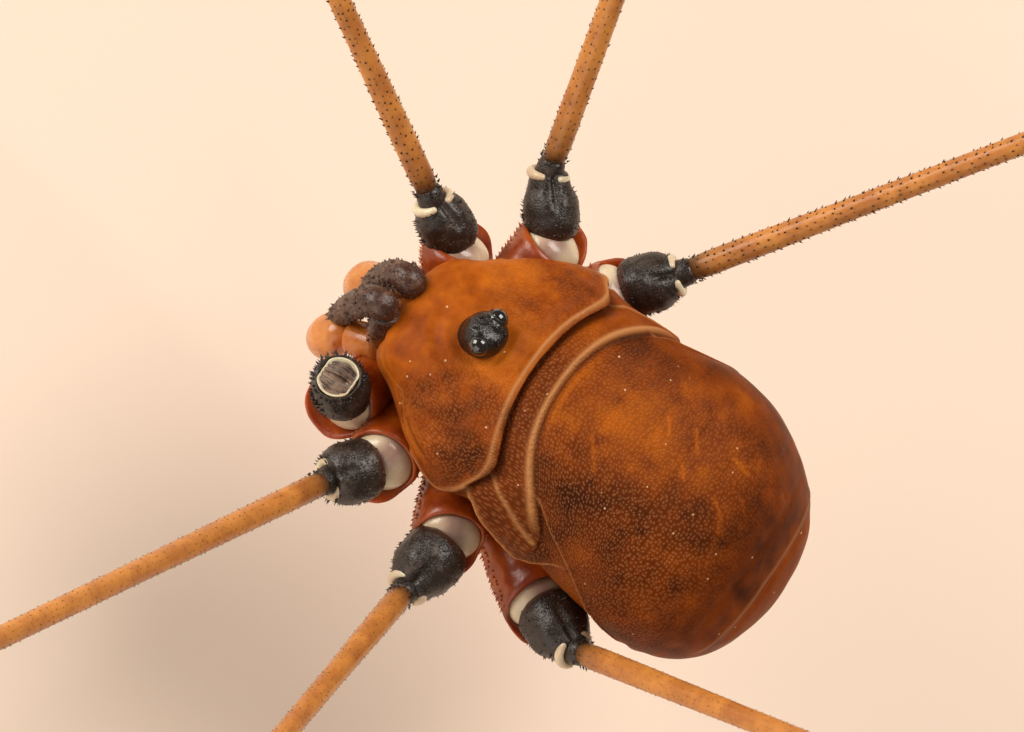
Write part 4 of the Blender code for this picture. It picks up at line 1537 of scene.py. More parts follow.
LEG_PLANS = (
    LegPlan(
        Side.LEFT, 1, (0.42, -0.50, -2.10), (1.24, -0.75, -1.80), 23, 57,
        barrel_radius=0.40, shift=(0.18, -0.12, 0),
    ),
    LegPlan(
        Side.LEFT, 2, (0.45, 0.02, -2.22), (1.88, 0.18, -1.55), 45, 5, 64, 35, LONG_2,
        lip_tilt=0.16, shift=(0.0, -0.19, 0), reach=0.04, thorn_size=0.6,
    ),
    LegPlan(
        Side.LEFT, 3, (0.50, 0.56, -2.30), (2.08, 1.30, -1.65), 88, 2, 81, 40, SHORT_3,
        barrel_radius=0.455, lip_tilt=0.20, shift=(0.05, 0.04, 0), reach=0.11, thorn_size=0.55,
    ),
    LegPlan(
        Side.LEFT, 4, (0.90, 1.10, -2.38), (1.95, 2.80, -2.15), 155, 28, 173, 58, LONG_4,
        barrel_radius=0.445, lip_tilt=0.45, shift=(0, 0.10, 0), reach=0.15, thorn_size=0.5,
    ),
    LegPlan(
        Side.RIGHT, 1, (-0.42, -0.50, -2.10), (-1.24, -0.75, -1.80), 15, 31, 19, 30, SHORT_1,
        barrel_radius=0.39, lip_tilt=0.25, shift=(-0.04, -0.04, 0), reach=0.04, thorn_size=1.0,
    ),
    LegPlan(
        Side.RIGHT, 2, (-0.45, 0.02, -2.22), (-1.95, 0.08, -1.55), 55, 20, 67, 40, LONG_2,
        barrel_radius=0.385, lip_tilt=0.30, shift=(-0.10, 0.12, 0), reach=0.12, thorn_size=0.8,
    ),
    LegPlan(
        Side.RIGHT, 3, (-0.50, 0.56, -2.30), (-2.08, 1.30, -1.65), 130, 25, 125, 30, SHORT_3,
        barrel_radius=0.41, lip_tilt=0.30, thorn_size=1.0,
    ),
    LegPlan(
        Side.RIGHT, 4, (-0.90, 1.10, -2.38), (-1.76, 2.78, -2.26), 170, -20,
        barrel_radius=0.38, lip_tilt=0.30,
    ),
)


@dataclass(frozen=True)
class Frame3:
    """A place with three square directions: along a piece, up from it and across it."""

    origin: Vector
    along: Vector
    up: Vector
    across: Vector

    @classmethod
    def at(cls, origin: Vector, along: Vector) -> "Frame3":
        """The frame of a piece that points along a way, with up as high as it can be."""
        along = along.normalized()
        across = along.cross(Vector((0, 0, 1)))
        if across.length < 1e-6:
            across = Vector((1, 0, 0))
        across.normalize()
        return cls(origin, along, across.cross(along).normalized(), across)

    def point(self, along: float, up: float, across: float) -> Vector:
        """A place by its distances along the three directions."""
        return self.origin + self.along * along + self.up * up + self.across * across

    def turn(self) -> object:
        """The turn that takes Z along the piece and Y up from it."""
        matrix = Matrix((self.across, self.up, self.along)).transposed()
        if matrix.determinant() < 0:
            matrix = Matrix((-self.across, self.up, self.along)).transposed()
        return matrix.to_quaternion()


def profile_rings(frame: Frame3, profile: np.ndarray, columns: int) -> np.ndarray:
    """Rings turned about a frame's long axis.

    Args:
        frame: where the piece starts and points.
        profile: distances along it and half widths, by row.
        columns: how many places go round, from above.

    Returns:
        Points by row and column in millimetres.
    """
    turn = 2 * np.pi * np.arange(columns) / columns
    up, across = np.array(frame.up), np.array(frame.across)
    ring = np.cos(turn)[:, None] * up + np.sin(turn)[:, None] * across
    centre = np.array(frame.origin) + profile[:, :1] * np.array(frame.along)
    return centre[:, None] + ring[None] * profile[:, 1:2, None]


def smooth_profile(stops: Line, rows: int) -> np.ndarray:
    """A profile through stops, evenly spaced along its own length.

    Args:
        stops: (distance along, half width) pairs.
        rows: how many rows it gets.

    Returns:
        Distances along and half widths, by row.
    """
    corners = np.array(stops)
    steps = np.concatenate([[0.0], np.cumsum(np.linalg.norm(np.diff(corners, axis=0), axis=1))])
    even = np.linspace(0.0, steps[-1], rows)
    rough = np.stack([np.interp(even, steps, corners[:, 0]), np.interp(even, steps, corners[:, 1])], axis=1)
    for _ in range(max(rows // 16, 1)):
        rough[1:-1] = (rough[:-2] + rough[1:-1] * 2 + rough[2:]) / 4
    return rough


@dataclass
class LegBase:
    """Coxa, joint membrane and trochanter of one leg."""

    shop: Workshop
    plan: LegPlan
    lip_radius: float = 0.515
    membrane_radius: float = 0.432
    membrane_height: float = 0.27

    @property
    def barrel_length(self) -> float:
        """How long the trochanter is."""
        return (self.plan.hip - self.plan.joint).length + 0.01

    def barrel_frame(self) -> Frame3:
        """The trochanter's frame, from the joint towards the hip."""
        way = (self.plan.hip - self.plan.joint).normalized()
        return Frame3.at(self.plan.joint + way * 0.04, way)

    def mouth(self) -> Frame3:
        """The frame of the coxa's open end, tilted upwards by the plan's own measure."""
        way = (self.plan.joint - Vector(self.plan.coxa_root)).normalized()
        level = Frame3.at(self.plan.joint, way)
        return Frame3.at(self.plan.joint, way + level.up * self.plan.lip_tilt)

    def coxa(self) -> bpy.types.Object:
        """The coxa, from inside the body to its thin lip, with rows of blunt teeth."""
        root, end = Vector(self.plan.coxa_root), self.plan.joint
        length = (end - root).length
        lip = self.lip_radius
        stops = (
            (-0.05, 0.10), (0.0, 0.16), (length * 0.20, 0.26), (length * 0.45, 0.38), (length * 0.70, 0.46),
            (length - 0.15, lip - 0.012), (length - 0.04, lip), (length + 0.015, lip - 0.028),
            (length + 0.005, lip - 0.075), (length - 0.05, lip - 0.095), (length - 0.24, lip - 0.11),
            (length - 0.28, 0.02),
        )
        frame = Frame3.at(root, end - root)
        rings = profile_rings(frame, smooth_profile(stops, 96), 72)
        raised = (rings - np.array(root)) @ np.array(frame.up)
        distance = (rings - np.array(root)) @ np.array(frame.along)
        leant = self.plan.lip_tilt * raised * smooth_step(length - 0.55, length - 0.05, distance)
        leant -= 0.26 * smooth_step(0.0, -0.45, raised) * smooth_step(length - 0.55, length - 0.05, distance)
        rings = rings - leant[..., None] * np.array(frame.along)
        cloud = Cloud(40 + self.plan.pair)
        lumps = cloud.at(rings, 0.22) * 0.014 + cloud.at(rings, 0.06) * 0.004
        rings = rings + outwards(rings) * lumps[..., None]
        body = self.shop.wrapped_ball(f"coxa_skin_{self.plan.name}", rings)
        rng = np.random.default_rng(300 + self.plan.pair + self.plan.side.value)
        rows = []
        for turn in (-118, -96, -76, 76, 96, 118, 150, 180, -150):
            count = max(int(length / 0.085), 4)
            for index in range(count):
                distance = 0.35 + (length - 0.42) * (index + rng.uniform(-0.2, 0.2)) / count
                angle = math.radians(turn + rng.uniform(-5, 5))
                radius = float(np.interp(distance, *zip(*stops[:7]))) - 0.006
                way = frame.up * math.cos(angle) + frame.across * math.sin(angle)
                foot = root + frame.along * distance + way * radius
                rows.append((foot, way + frame.along * 0.45, rng.uniform(0.018, 0.028), rng.uniform(0.040, 0.070)))
        teeth = self.shop.thorn_field("teeth", 5, Seats.of(rows))
        return self.shop.join(f"coxa_skin_{self.plan.name}", [body, teeth])

    def membrane(self) -> bpy.types.Object:
        """The pale soft skin that bulges between the coxa's lip and the trochanter."""
        frame = self.mouth()
        name = f"joint_membrane_{self.plan.name}"
        radii = (self.membrane_radius, self.membrane_radius, self.membrane_height)
        made = self.shop.ball(name, frame.point(-0.04, 0, 0), radii, frame.turn(), 56, 40)
        origin, up, across = (np.array(part) for part in (frame.origin, frame.up, frame.across))

        def shade(places: np.ndarray) -> np.ndarray:
            """Lilac grey in the middle of the upper side, cream towards its ends."""
            sideways = np.abs((places - origin) @ across)
            middle = bell(sideways - 0.04, 0.15) * smooth_step(0.05, 0.25, (places - origin) @ up)
            return np.clip(middle * 0.9, 0, 1)

        self.shop.mark_places(made, "tip", shade)
        return made

    def barrel_stops(self) -> Line:
        """The trochanter's profile: a globe that narrows to its outer end."""
        radius, length = self.plan.barrel_radius, self.barrel_length
        return (
            (0.00, 0.02), (0.01, radius * 0.50), (0.05, radius * 0.78), (0.13, radius * 0.93), (0.26, radius),
            (0.42, radius * 0.99), (0.55, radius * 0.93), (0.66, radius * 0.82), (0.74, radius * 0.70),
            (length - 0.05, 0.24), (length - 0.02, 0.19), (length - 0.05, 0.10), (length - 0.07, 0.01),
        )

    def barrel(self) -> bpy.types.Object:
        """The trochanter's black barrel with its granules and thorns."""
        frame = self.barrel_frame()
        lost = not self.plan.lengths
        stops = self.barrel_stops() if not lost else self.stump_stops()
        rings = profile_rings(frame, smooth_profile(stops, 88), 96)
        distance = (rings - np.array(frame.origin)) @ np.array(frame.along)
        turn = 2 * np.pi * np.arange(96) / 96
        cloud = Cloud(70 + self.plan.pair * 2 + self.plan.side.value)
        height = cloud.at(rings, 0.16) * 0.014 + cloud.at(rings, 0.05) * 0.004 + cloud.at(rings, 0.024) * 0.002
        if not lost:
            outer = smooth_step(0.34, 0.66, distance)
            height -= 0.050 * bell(np.sin(turn)[None] * np.sign(np.cos(turn) + 1.01)[None], 0.16) * outer
            height += 0.030 * np.abs(np.sin(turn))[None] * outer
        rings = rings + outwards(rings) * height[..., None]
        warm = Marks({"warm": smooth_step(0.20, 0.05, distance) * 0.8})
        skin = self.shop.wrapped_ball(f"trochanter_skin_{self.plan.name}", rings, warm)
        pieces = [skin, self.thorns(frame, stops)]
        if not lost:
            pieces.append(self.knob())
        return self.shop.join(f"trochanter_skin_{self.plan.name}", pieces)

    def thorns(self, frame: Frame3, stops: Line) -> bpy.types.Object:
        """Thorns scattered over the front, back and under sides and round the outer edge."""
        rng = np.random.default_rng(500 + self.plan.pair * 2 + self.plan.side.value)
        rows = []
        outer = stops[:-4] if self.plan.lengths else stops[:-5]
        for _ in range(330):
            distance = rng.uniform(0.12, 0.80)
            angle = rng.uniform(-math.pi, math.pi)
            under = smooth_step(0.35, -0.45, np.array(math.cos(angle)))
            rim = smooth_step(0.50, 0.66, np.array(distance))
            if rng.uniform() > max(float(under), float(rim) * 0.5, 0.05):
                continue
            radius = float(np.interp(distance, *zip(*outer))) - 0.004
            way = frame.up * math.cos(angle) + frame.across * math.sin(angle)
            foot = frame.origin + frame.along * distance + way * radius
            heading = way + frame.along * rng.uniform(0.5, 0.9)
            width = rng.uniform(0.012, 0.020)
            tall = rng.uniform(0.045, 0.080) * (0.5 + 0.5 * float(max(under, rim)))
            rows.append((foot, heading, width, tall))
        for index in range(0 if self.plan.lengths else 22):
            angle = 2 * math.pi * (index + rng.uniform(-0.3, 0.3)) / 22
            way = frame.up * math.cos(angle) + frame.across * math.sin(angle)
            foot = frame.origin + frame.along * (self.barrel_length - 0.10) + way * (outer[-1][1] - 0.01)
            rows.append((foot, way + frame.along * 1.1, rng.uniform(0.020, 0.032), rng.uniform(0.060, 0.095)))
        for _ in range(180):
            distance, angle = rng.uniform(0.06, 0.72), rng.uniform(-math.pi, math.pi)
            radius = float(np.interp(distance, *zip(*outer))) - 0.006
            way = frame.up * math.cos(angle) + frame.across * math.sin(angle)
            foot = frame.origin + frame.along * distance + way * radius
            rows.append((foot, way, rng.uniform(0.012, 0.022), rng.uniform(0.014, 0.026)))
        knob = Frame3.at(self.plan.hip, self.plan.femur_way)
        for _ in range(34 if self.plan.lengths else 0):
            distance, angle = rng.uniform(0.12, 0.36), rng.uniform(-math.pi, math.pi)
            way = knob.up * math.cos(angle) + knob.across * math.sin(angle)
            foot = knob.origin + knob.along * distance + way * 0.178
            rows.append((foot, way + knob.along * 0.8, rng.uniform(0.012, 0.020), rng.uniform(0.030, 0.060)))
        return self.shop.thorn_field("thorns", 5, Seats.of(rows))

    def stump_stops(self) -> Line:
        """The profile of a trochanter left open where its leg was lost."""
        radius, length = self.plan.barrel_radius, self.barrel_length
        return (
            (0.00, 0.02), (0.01, radius * 0.5), (0.05, radius * 0.78), (0.13, radius * 0.93), (0.28, radius),
            (0.48, radius - 0.005), (0.64, radius - 0.03), (length - 0.10, radius - 0.055),
            (length - 0.02, radius - 0.075), (length, radius - 0.095), (length - 0.05, radius - 0.115),
            (length - 0.10, 0.18), (length - 0.10, 0.01),
        )

    def knob(self) -> bpy.types.Object:
        """The black swollen foot of the femur, held between the two condyles."""
        way = self.plan.femur_way
        start = self.plan.hip - way * 0.16
        path = [start + way * distance for distance in (0.0, 0.04, 0.10, 0.17, 0.24, 0.30, 0.35, 0.40, 0.43)]
        radii = [0.07, 0.14, 0.185, 0.200, 0.198, 0.190, 0.180, 0.160, 0.10]
        made = self.shop.drawn_limb("knob", path, radii, 32)
        self.shop.apply_modifier(made, "SUBSURF", levels=1, render_levels=1)
        return made

    def condyles(self) -> bpy.types.Object:
        """The two cream knuckles beside the femur's foot."""
        frame = Frame3.at(self.plan.hip, self.plan.barrel_way + self.plan.femur_way)
        pieces = []
        for sign in (-1, 1):
            turns = [math.radians(angle) for angle in range(-70, 71, 14)]
            path = [
                frame.point(0.02 - 0.03 * math.cos(turn), 0.240 * math.sin(turn), sign * 0.240 * math.cos(turn))
                for turn in turns
            ]
            radii = [0.014 + 0.056 * math.cos(turn) ** 0.7 for turn in turns]
            made = self.shop.drawn_limb("condyle", path, radii, 14)
            self.shop.apply_modifier(made, "SUBSURF", levels=1, render_levels=1)
            pieces.append(made)
        return self.shop.join(f"condyles_{self.plan.name}", pieces)

    def stump(self) -> list[bpy.types.Object]:
        """The cream ring and the pleated skin that close a lost leg's socket."""
        frame = self.barrel_frame()
        end = self.barrel_length
        stops = (
            (end - 0.13, 0.02), (end - 0.11, 0.22), (end - 0.07, 0.272), (end - 0.015, 0.296),
            (end + 0.005, 0.286),
            (end - 0.005, 0.265), (end - 0.040, 0.250), (end - 0.060, 0.14), (end - 0.060, 0.01),
        )
        rings = profile_rings(frame, smooth_profile(stops, 40), 72)
        turn = 2 * np.pi * np.arange(72) / 72
        notch = 1 - 0.9 * bell(np.abs(np.cos(turn)) - 1.0, 0.10)
        out = rings - rings.mean(axis=1, keepdims=True)
        rings = rings - out * (1 - notch)[None, :, None] * 0.16
        ring = self.shop.wrapped_ball(f"stump_ring_{self.plan.name}", rings)
        rows, columns = 40, 96
        share = np.arange(rows + 1) / rows
        turn = 2 * np.pi * np.arange(columns) / columns
        radius = 0.256 * np.sin(share * np.pi / 2)
        up = np.cos(turn)[None] * radius[:, None]
        across = np.sin(turn)[None] * radius[:, None] * 0.98
        cloud = Cloud(91)
        flat = np.stack([up, across, np.zeros_like(up)], axis=-1)
        pleats = np.sin((across * (1 + 6 * up**2) + cloud.at(flat, 0.14) * 0.012) * 2 * math.pi / 0.090)
        lift = 0.055 * (1 - share**2)[:, None] + 0.017 * pleats * smooth_step(1.0, 0.75, share)[:, None]
        lift = lift - 0.060 * bell(across - 0.01 + 0.6 * up**2, 0.016) * smooth_step(0.20, 0.14, np.abs(up))
        height = end - 0.050 + lift
        top = (
            np.array(frame.origin)
            + height[..., None] * np.array(frame.along)
            + up[..., None] * np.array(frame.up)
            + across[..., None] * np.array(frame.across)
        )
        under = top[::-1][1:] - np.array(frame.along) * 0.10
        disc = np.concatenate([top, under])
        skin = self.shop.wrapped_ball(f"stump_skin_{self.plan.name}", disc)
        return [ring, skin]

    def build(self, wardrobe: Wardrobe) -> list[bpy.types.Object]:
        """All pieces of the leg's base, dressed."""
        pieces = [
            self.shop.dress(self.coxa(), wardrobe.coxa),
            self.shop.dress(self.membrane(), wardrobe.cream),
            self.shop.dress(self.barrel(), wardrobe.black),
        ]
        if self.plan.lengths:
            pieces.append(self.shop.dress(self.condyles(), wardrobe.cream))
        else:
            ring, skin = self.stump()
            pieces += [self.shop.dress(ring, wardrobe.cream), self.shop.dress(skin, wardrobe.scar)]
        return pieces


@dataclass(frozen=True)
class LegPath:
    """The joints of one whole leg and the slopes of its pieces, in millimetres."""

    hip: Vector
    knee: Vector
    knee_end: Vector
    shin_end: Vector
    metatarsus_end: Vector
    heading: Vector
    slope: float


@dataclass
class LongLeg:
    """Femur, patella, tibia, metatarsus and tarsus of one whole leg, as one jointed piece."""

    shop: Workshop
    plan: LegPlan
    body_gap: float = 0.2
    joint_gap: float = 0.3
    mound_height: float = 7.6
    foot_centre: float = 0.07
    steeper_deg: float = 6.0
    femur_radius: float = 0.165
    sides: int = 20

    def fall(self, knee_height: float) -> float:
        """The tibia's downward slope that brings the foot to the floor."""
        _, patella, tibia, metatarsus, tarsus = self.plan.lengths
        low, high = math.radians(2), math.radians(80)
        for _ in range(40):
            fall = (low + high) / 2
            steeper = fall + math.radians(self.steeper_deg)
            knee_slope = (math.radians(self.plan.femur_rise) - fall) / 2
            drop = -(patella + self.joint_gap) * math.sin(knee_slope) + (tibia + self.joint_gap) * math.sin(fall)
            drop += (metatarsus + self.joint_gap) * math.sin(steeper)
            drop += tarsus * (1 - math.cos(steeper)) / steeper
            if drop < knee_height + self.mound_height - self.foot_centre:
                low = fall
            else:
                high = fall
        return fall

    def path(self, hip: Vector) -> LegPath:
        """Where the leg's joints lie, down its length."""
        femur, patella, tibia, metatarsus, _ = self.plan.lengths
        side, heading = self.plan.side, self.plan.femur_heading
        along = self.plan.femur_way
        knee = hip + along * (self.body_gap + femur + self.joint_gap)
        fall = self.fall(knee.z)
        knee_slope = math.degrees((math.radians(self.plan.femur_rise) - fall) / 2)
        knee_end = knee + heading_vector(side, heading, knee_slope) * (patella + self.joint_gap)
        shin_end = knee_end + heading_vector(side, heading, -math.degrees(fall)) * (tibia + self.joint_gap)
        steeper = fall + math.radians(self.steeper_deg)
        down = heading_vector(side, heading, -math.degrees(steeper))
        metatarsus_end = shin_end + down * (metatarsus + self.joint_gap)
        return LegPath(hip, knee, knee_end, shin_end, metatarsus_end, heading_vector(side, heading, 0), steeper)

    def segment(self, name: str, start: Vector, end: Vector, stops: Line, dusk: Line) -> bpy.types.Object:
        """One straight leg piece.

        Args:
            name: its name.
            start: where it starts.
            end: where it ends.
            stops: (share of its length, half width) pairs.
            dusk: (share of its length, darkness) pairs.

        Returns:
            The piece.
        """
        shares = sorted({*np.linspace(0, 1, 15).tolist(), *(share for share, _ in stops)})
        path = [start.lerp(end, share) for share in shares]
        radii = [float(np.interp(share, *zip(*stops))) for share in shares]
        made = self.shop.drawn_limb(name, path, radii, self.sides)
        self.darken(made, start, end, dusk)
        return made

    def darken(self, made: bpy.types.Object, start: Vector, end: Vector, dusk: Line) -> None:
        """Writes the mark dusk along a straight piece."""
        low, way = np.array(start), np.array(end - start)
        shares, worths = zip(*dusk)
        self.shop.mark_places(
            made, "dusk", lambda places: np.interp((places - low) @ way / (way @ way), shares, worths)
        )

    def thorn_rows(
        self, start: Vector, end: Vector, stops: Line, rows: int, spacing: float, height: float, seed: int
    ) -> Seats:
        """Rows of thorns down a straight piece, leaning to its outer end.

        Args:
            start: where the piece starts.
            end: where it ends.
            stops: (share of its length, half width) pairs.
            rows: how many rows go round it.
            spacing: how far apart the thorns stand in a row.
            height: how tall they are.
            seed: what scatters them.

        Returns:
            The thorns' seats.
        """
        rng = np.random.default_rng(seed)
        frame = Frame3.at(start, end - start)
        length = (end - start).length
        count = int(length / spacing)
        order = np.arange(count)[None] + rng.uniform(0, 1, (rows, 1))
        share = (order + rng.uniform(-0.28, 0.28, (rows, count))) / count
        turn = 2 * np.pi * (np.arange(rows)[:, None] + rng.uniform(-0.22, 0.22, (rows, count))) / rows
        kept = (share > 0.012) & (share < 0.985) & (rng.uniform(size=share.shape) > 0.12)
        share, turn = share[kept], turn[kept]
        radius = np.interp(share, *zip(*stops))
        way = np.cos(turn)[:, None] * np.array(frame.up) + np.sin(turn)[:, None] * np.array(frame.across)
        along = np.array(frame.along)
        foot = np.array(start) + (share * length)[:, None] * along + way * (radius - 0.003)[:, None]
        tall = height * rng.uniform(0.7, 1.25, len(share))
        return Seats(foot, way + along * 0.9, tall * 0.30, tall)

    def foot(self, joints: LegPath, radius: float) -> bpy.types.Object:
        """The whip-like tarsus of many short rings, easing down onto the floor, with its claw."""
        length = self.plan.lengths[-1]
        slope = joints.slope
        tip_radius = 0.028
        rise = joints.metatarsus_end.z + self.mound_height - tip_radius
        ideal = length * (1 - math.cos(slope)) / slope
        steps = int(length / 0.30)
        path, radii = [], []
        for index in range(steps + 1):
            share = index / steps
            easing = slope * (1 - share)
            reach = length * (math.sin(slope) - math.sin(easing)) / slope
            drop = length * (math.cos(easing) - math.cos(slope)) / slope * rise / ideal
            centre = joints.metatarsus_end + joints.heading * reach - Vector((0, 0, drop))
            thick = radius + (tip_radius - radius) * min(share * 1.25, 1.0)
            if index:
                path.append(path[-1].lerp(centre, 0.86) if index > 1 else centre)
                radii.append(thick * 0.90)
            path.append(centre)
            radii.append(thick)
        made = self.shop.drawn_limb("tarsus", path, radii, 12)
        self.shop.mark_places(made, "dusk", lambda places: 0.28)
        tip = path[-1]
        claw_path = [
            tip - joints.heading * 0.01,
            tip + joints.heading * 0.05 + Vector((0, 0, 0.012)),
            tip + joints.heading * 0.10 + Vector((0, 0, 0.006)),
            tip + joints.heading * 0.125 - Vector((0, 0, 0.020)),
        ]
        claw = self.shop.drawn_limb("claw", claw_path, [0.020, 0.016, 0.009, 0.003], 10)
        self.shop.mark_places(claw, "spine", lambda places: 1.0)
        return self.shop.join("tarsus", [made, claw])

    def build(self, hip: Vector, material: bpy.types.Material) -> bpy.types.Object:
        """The leg, joined and dressed.

        Args:
            hip: where the trochanter ends.
            material: its finish.

        Returns:
            The dressed leg.
        """
        joints = self.path(hip)
        start = hip + self.plan.femur_way * 0.13
        wide = self.femur_radius
        femur_length = (joints.knee - start).length
        femur_stops = (
            (0.0, wide * 0.88), (0.35 / femur_length, wide * 1.04), (1.2 / femur_length, wide * 1.02),
            (0.35, wide * 0.92), (0.75, wide * 0.88), (0.93, wide * 0.98), (0.985, wide * 1.08), (1.0, wide * 0.80),
        )
        femur_dusk = (
            (0.0, 1.0), (0.16 / femur_length, 0.95), (0.32 / femur_length, 0.40), (0.60 / femur_length, 0.0),
            (0.90, 0.0), (0.97, 0.75), (1.0, 0.85),
        )
        patella_stops = ((0.0, 0.10), (0.06, 0.135), (0.35, 0.160), (0.8, 0.172), (0.96, 0.165), (1.0, 0.10))
        patella_dusk = ((0.0, 0.9), (0.15, 0.75), (0.6, 0.6), (1.0, 0.8))
        tibia_stops = ((0.0, 0.085), (0.02, 0.110), (0.10, 0.125), (0.85, 0.112), (0.97, 0.122), (1.0, 0.09))
        tibia_dusk = ((0.0, 0.7), (0.05, 0.15), (0.85, 0.05), (0.93, 0.65), (1.0, 0.75))
        meta_stops = ((0.0, 0.065), (0.02, 0.085), (0.10, 0.088), (0.90, 0.066), (0.985, 0.074), (1.0, 0.055))
        meta_dusk = ((0.0, 0.5), (0.04, 0.10), (0.94, 0.15), (1.0, 0.45))
        pieces = [
            self.segment("femur", start, joints.knee, femur_stops, femur_dusk),
            self.segment("patella", joints.knee, joints.knee_end, patella_stops, patella_dusk),
            self.segment("tibia", joints.knee_end, joints.shin_end, tibia_stops, tibia_dusk),
            self.segment("metatarsus", joints.shin_end, joints.metatarsus_end, meta_stops, meta_dusk),
            self.foot(joints, 0.060),
        ]
        seed = 900 + self.plan.pair * 10 + self.plan.side.value
        for index, (first, last, stops, rows, spacing, height) in enumerate((
            (start, joints.knee, femur_stops, 12, 0.135, 0.046),
            (joints.knee, joints.knee_end, patella_stops, 12, 0.13, 0.042),
            (joints.knee_end, joints.shin_end, tibia_stops, 8, 0.26, 0.034),
            (joints.shin_end, joints.metatarsus_end, meta_stops, 6, 0.45, 0.030),
        )):
            height = height * self.plan.thorn_size
            seats = self.thorn_rows(first, last, stops, rows, spacing, height, seed + index * 1000)
            pieces.append(self.shop.thorn_field("thorns", 4, seats))
        made = self.shop.join(f"leg_{self.plan.name}", pieces)
        return self.shop.dress(made, material)


# Mouthparts


@dataclass
class Palps:
    """The two short granular feelers, folded down in front of the head."""

    shop: Workshop
    femur_path: tuple[Row, ...] = (
        (0.56, -0.70, -2.05), (0.52, -0.88, -1.75), (0.43, -1.02, -1.42), (0.32, -1.13, -1.12),
        (0.26, -1.20, -0.92),
    )
    femur_radii: Row = (0.17, 0.18, 0.20, 0.21, 0.20)
    tip_path: tuple[Row, ...] = (
        (0.26, -1.18, -0.98), (0.24, -1.22, -0.82), (0.24, -1.31, -0.76), (0.26, -1.42, -0.84),
        (0.28, -1.50, -1.04), (0.29, -1.54, -1.36), (0.30, -1.56, -1.72), (0.30, -1.56, -2.10),
        (0.30, -1.53, -2.45), (0.30, -1.48, -2.80), (0.30, -1.45, -3.02), (0.30, -1.44, -3.10),
    )
    tip_radii: Row = (0.12, 0.20, 0.225, 0.215, 0.20, 0.20, 0.185, 0.175, 0.155, 0.125, 0.075, 0.02)
    sideways: float = 0.07
    twist: float = 0.06
    rearward: float = 0.07

    def smooth_path(
        self, points: tuple[Row, ...], radii: Row, side: Side, count: int
    ) -> tuple[list[Vector], list[float]]:
        """A path and its half widths eased through given ones, on one side.

        Args:
            points: the path's corners on the left side.
            radii: the half width at each.
            side: which side it is for.
            count: how many rings it gets.

        Returns:
            The path and its half widths.
        """
        shift = (self.sideways, self.rearward - self.twist * side.value, 0.0)
        corners = np.array(points) * (side.value, 1.0, 1.0) + shift
        steps = np.concatenate([[0.0], np.cumsum(np.linalg.norm(np.diff(corners, axis=0), axis=1))])
        even = np.linspace(0.0, steps[-1], count)
        laid = np.stack([np.interp(even, steps, corners[:, axis]) for axis in range(3)], axis=1)
        wide = np.interp(even, steps, radii)
        for _ in range(3):
            laid[1:-1] = (laid[:-2] + laid[1:-1] * 2 + laid[2:]) / 4
        return [Vector(place) for place in laid], wide.tolist()

    def granules(
        self, path: list[Vector], radii: list[float], count: int, seed: int, height: float
    ) -> bpy.types.Object:
        """Small grains and stiff hairs scattered over a bent piece."""
        rng = np.random.default_rng(seed)
        places = np.array([tuple(place) for place in path])
        share = rng.uniform(0.06, 0.97, count) * (len(path) - 1)
        low = share.astype(int)
        part = (share - low)[:, None]
        centre = places[low] * (1 - part) + places[low + 1] * part
        along = places[low + 1] - places[low]
        along /= np.linalg.norm(along, axis=1, keepdims=True)
        way = rng.normal(size=(count, 3))
        way -= (way * along).sum(axis=1, keepdims=True) * along
        way /= np.linalg.norm(way, axis=1, keepdims=True)
        radius = np.interp(share, np.arange(len(path)), radii)
        tall = height * rng.uniform(0.5, 1.3, count)
        seats = Seats(centre + way * (radius - 0.006)[:, None], way + along * 0.6, tall * 0.42, tall)
        return self.shop.thorn_field("grains", 5, seats)

    def build(self, brown: bpy.types.Material) -> list[bpy.types.Object]:
        """The pieces of both palps, dressed."""
        pieces = []
        for side in Side:
            path, radii = self.smooth_path(self.femur_path, self.femur_radii, side, 22)
            femur = self.shop.drawn_limb(f"palp_femur_skin_{side.word}", path, radii, 28)
            self.fade(femur, path)
            grains = self.granules(path[11:], radii[11:], 60, 31 + side.value, 0.040)
            femur = self.shop.join(f"palp_femur_skin_{side.word}", [femur, grains])
            pieces.append(self.shop.dress(femur, brown))
            path, radii = self.smooth_path(self.tip_path, self.tip_radii, side, 56)
            tip = self.shop.drawn_limb(f"palp_tip_skin_{side.word}", path, radii, 32)
            self.roughen(tip)
            grains = self.granules(path, radii, 300, 41 + side.value, 0.050)
            tip = self.shop.join(f"palp_tip_skin_{side.word}", [tip, grains])
            pieces.append(self.shop.dress(tip, brown))
        return pieces

    def roughen(self, made: bpy.types.Object) -> None:
        """Presses soft lumps into a piece."""
        self.shop.apply_modifier(made, "SUBSURF", levels=1, render_levels=1)
        lumps = bpy.data.textures.get("palp lumps") or bpy.data.textures.new("palp lumps", "CLOUDS")
        lumps.noise_scale = 0.00011
        settings = {"texture": lumps, "texture_coords": "LOCAL", "strength": 0.00004, "mid_level": 0.5}
        self.shop.apply_modifier(made, "DISPLACE", **settings)

    def fade(self, made: bpy.types.Object, path: list[Vector]) -> None:
        """Marks the amber root of a palp's femur, fading into its brown outer half."""
        low, way = np.array(path[0]), np.array(path[-1] - path[0])
        self.shop.mark_places(
            made, "warm", lambda places: smooth_step(0.80, 0.45, (places - low) @ way / (way @ way))
        )


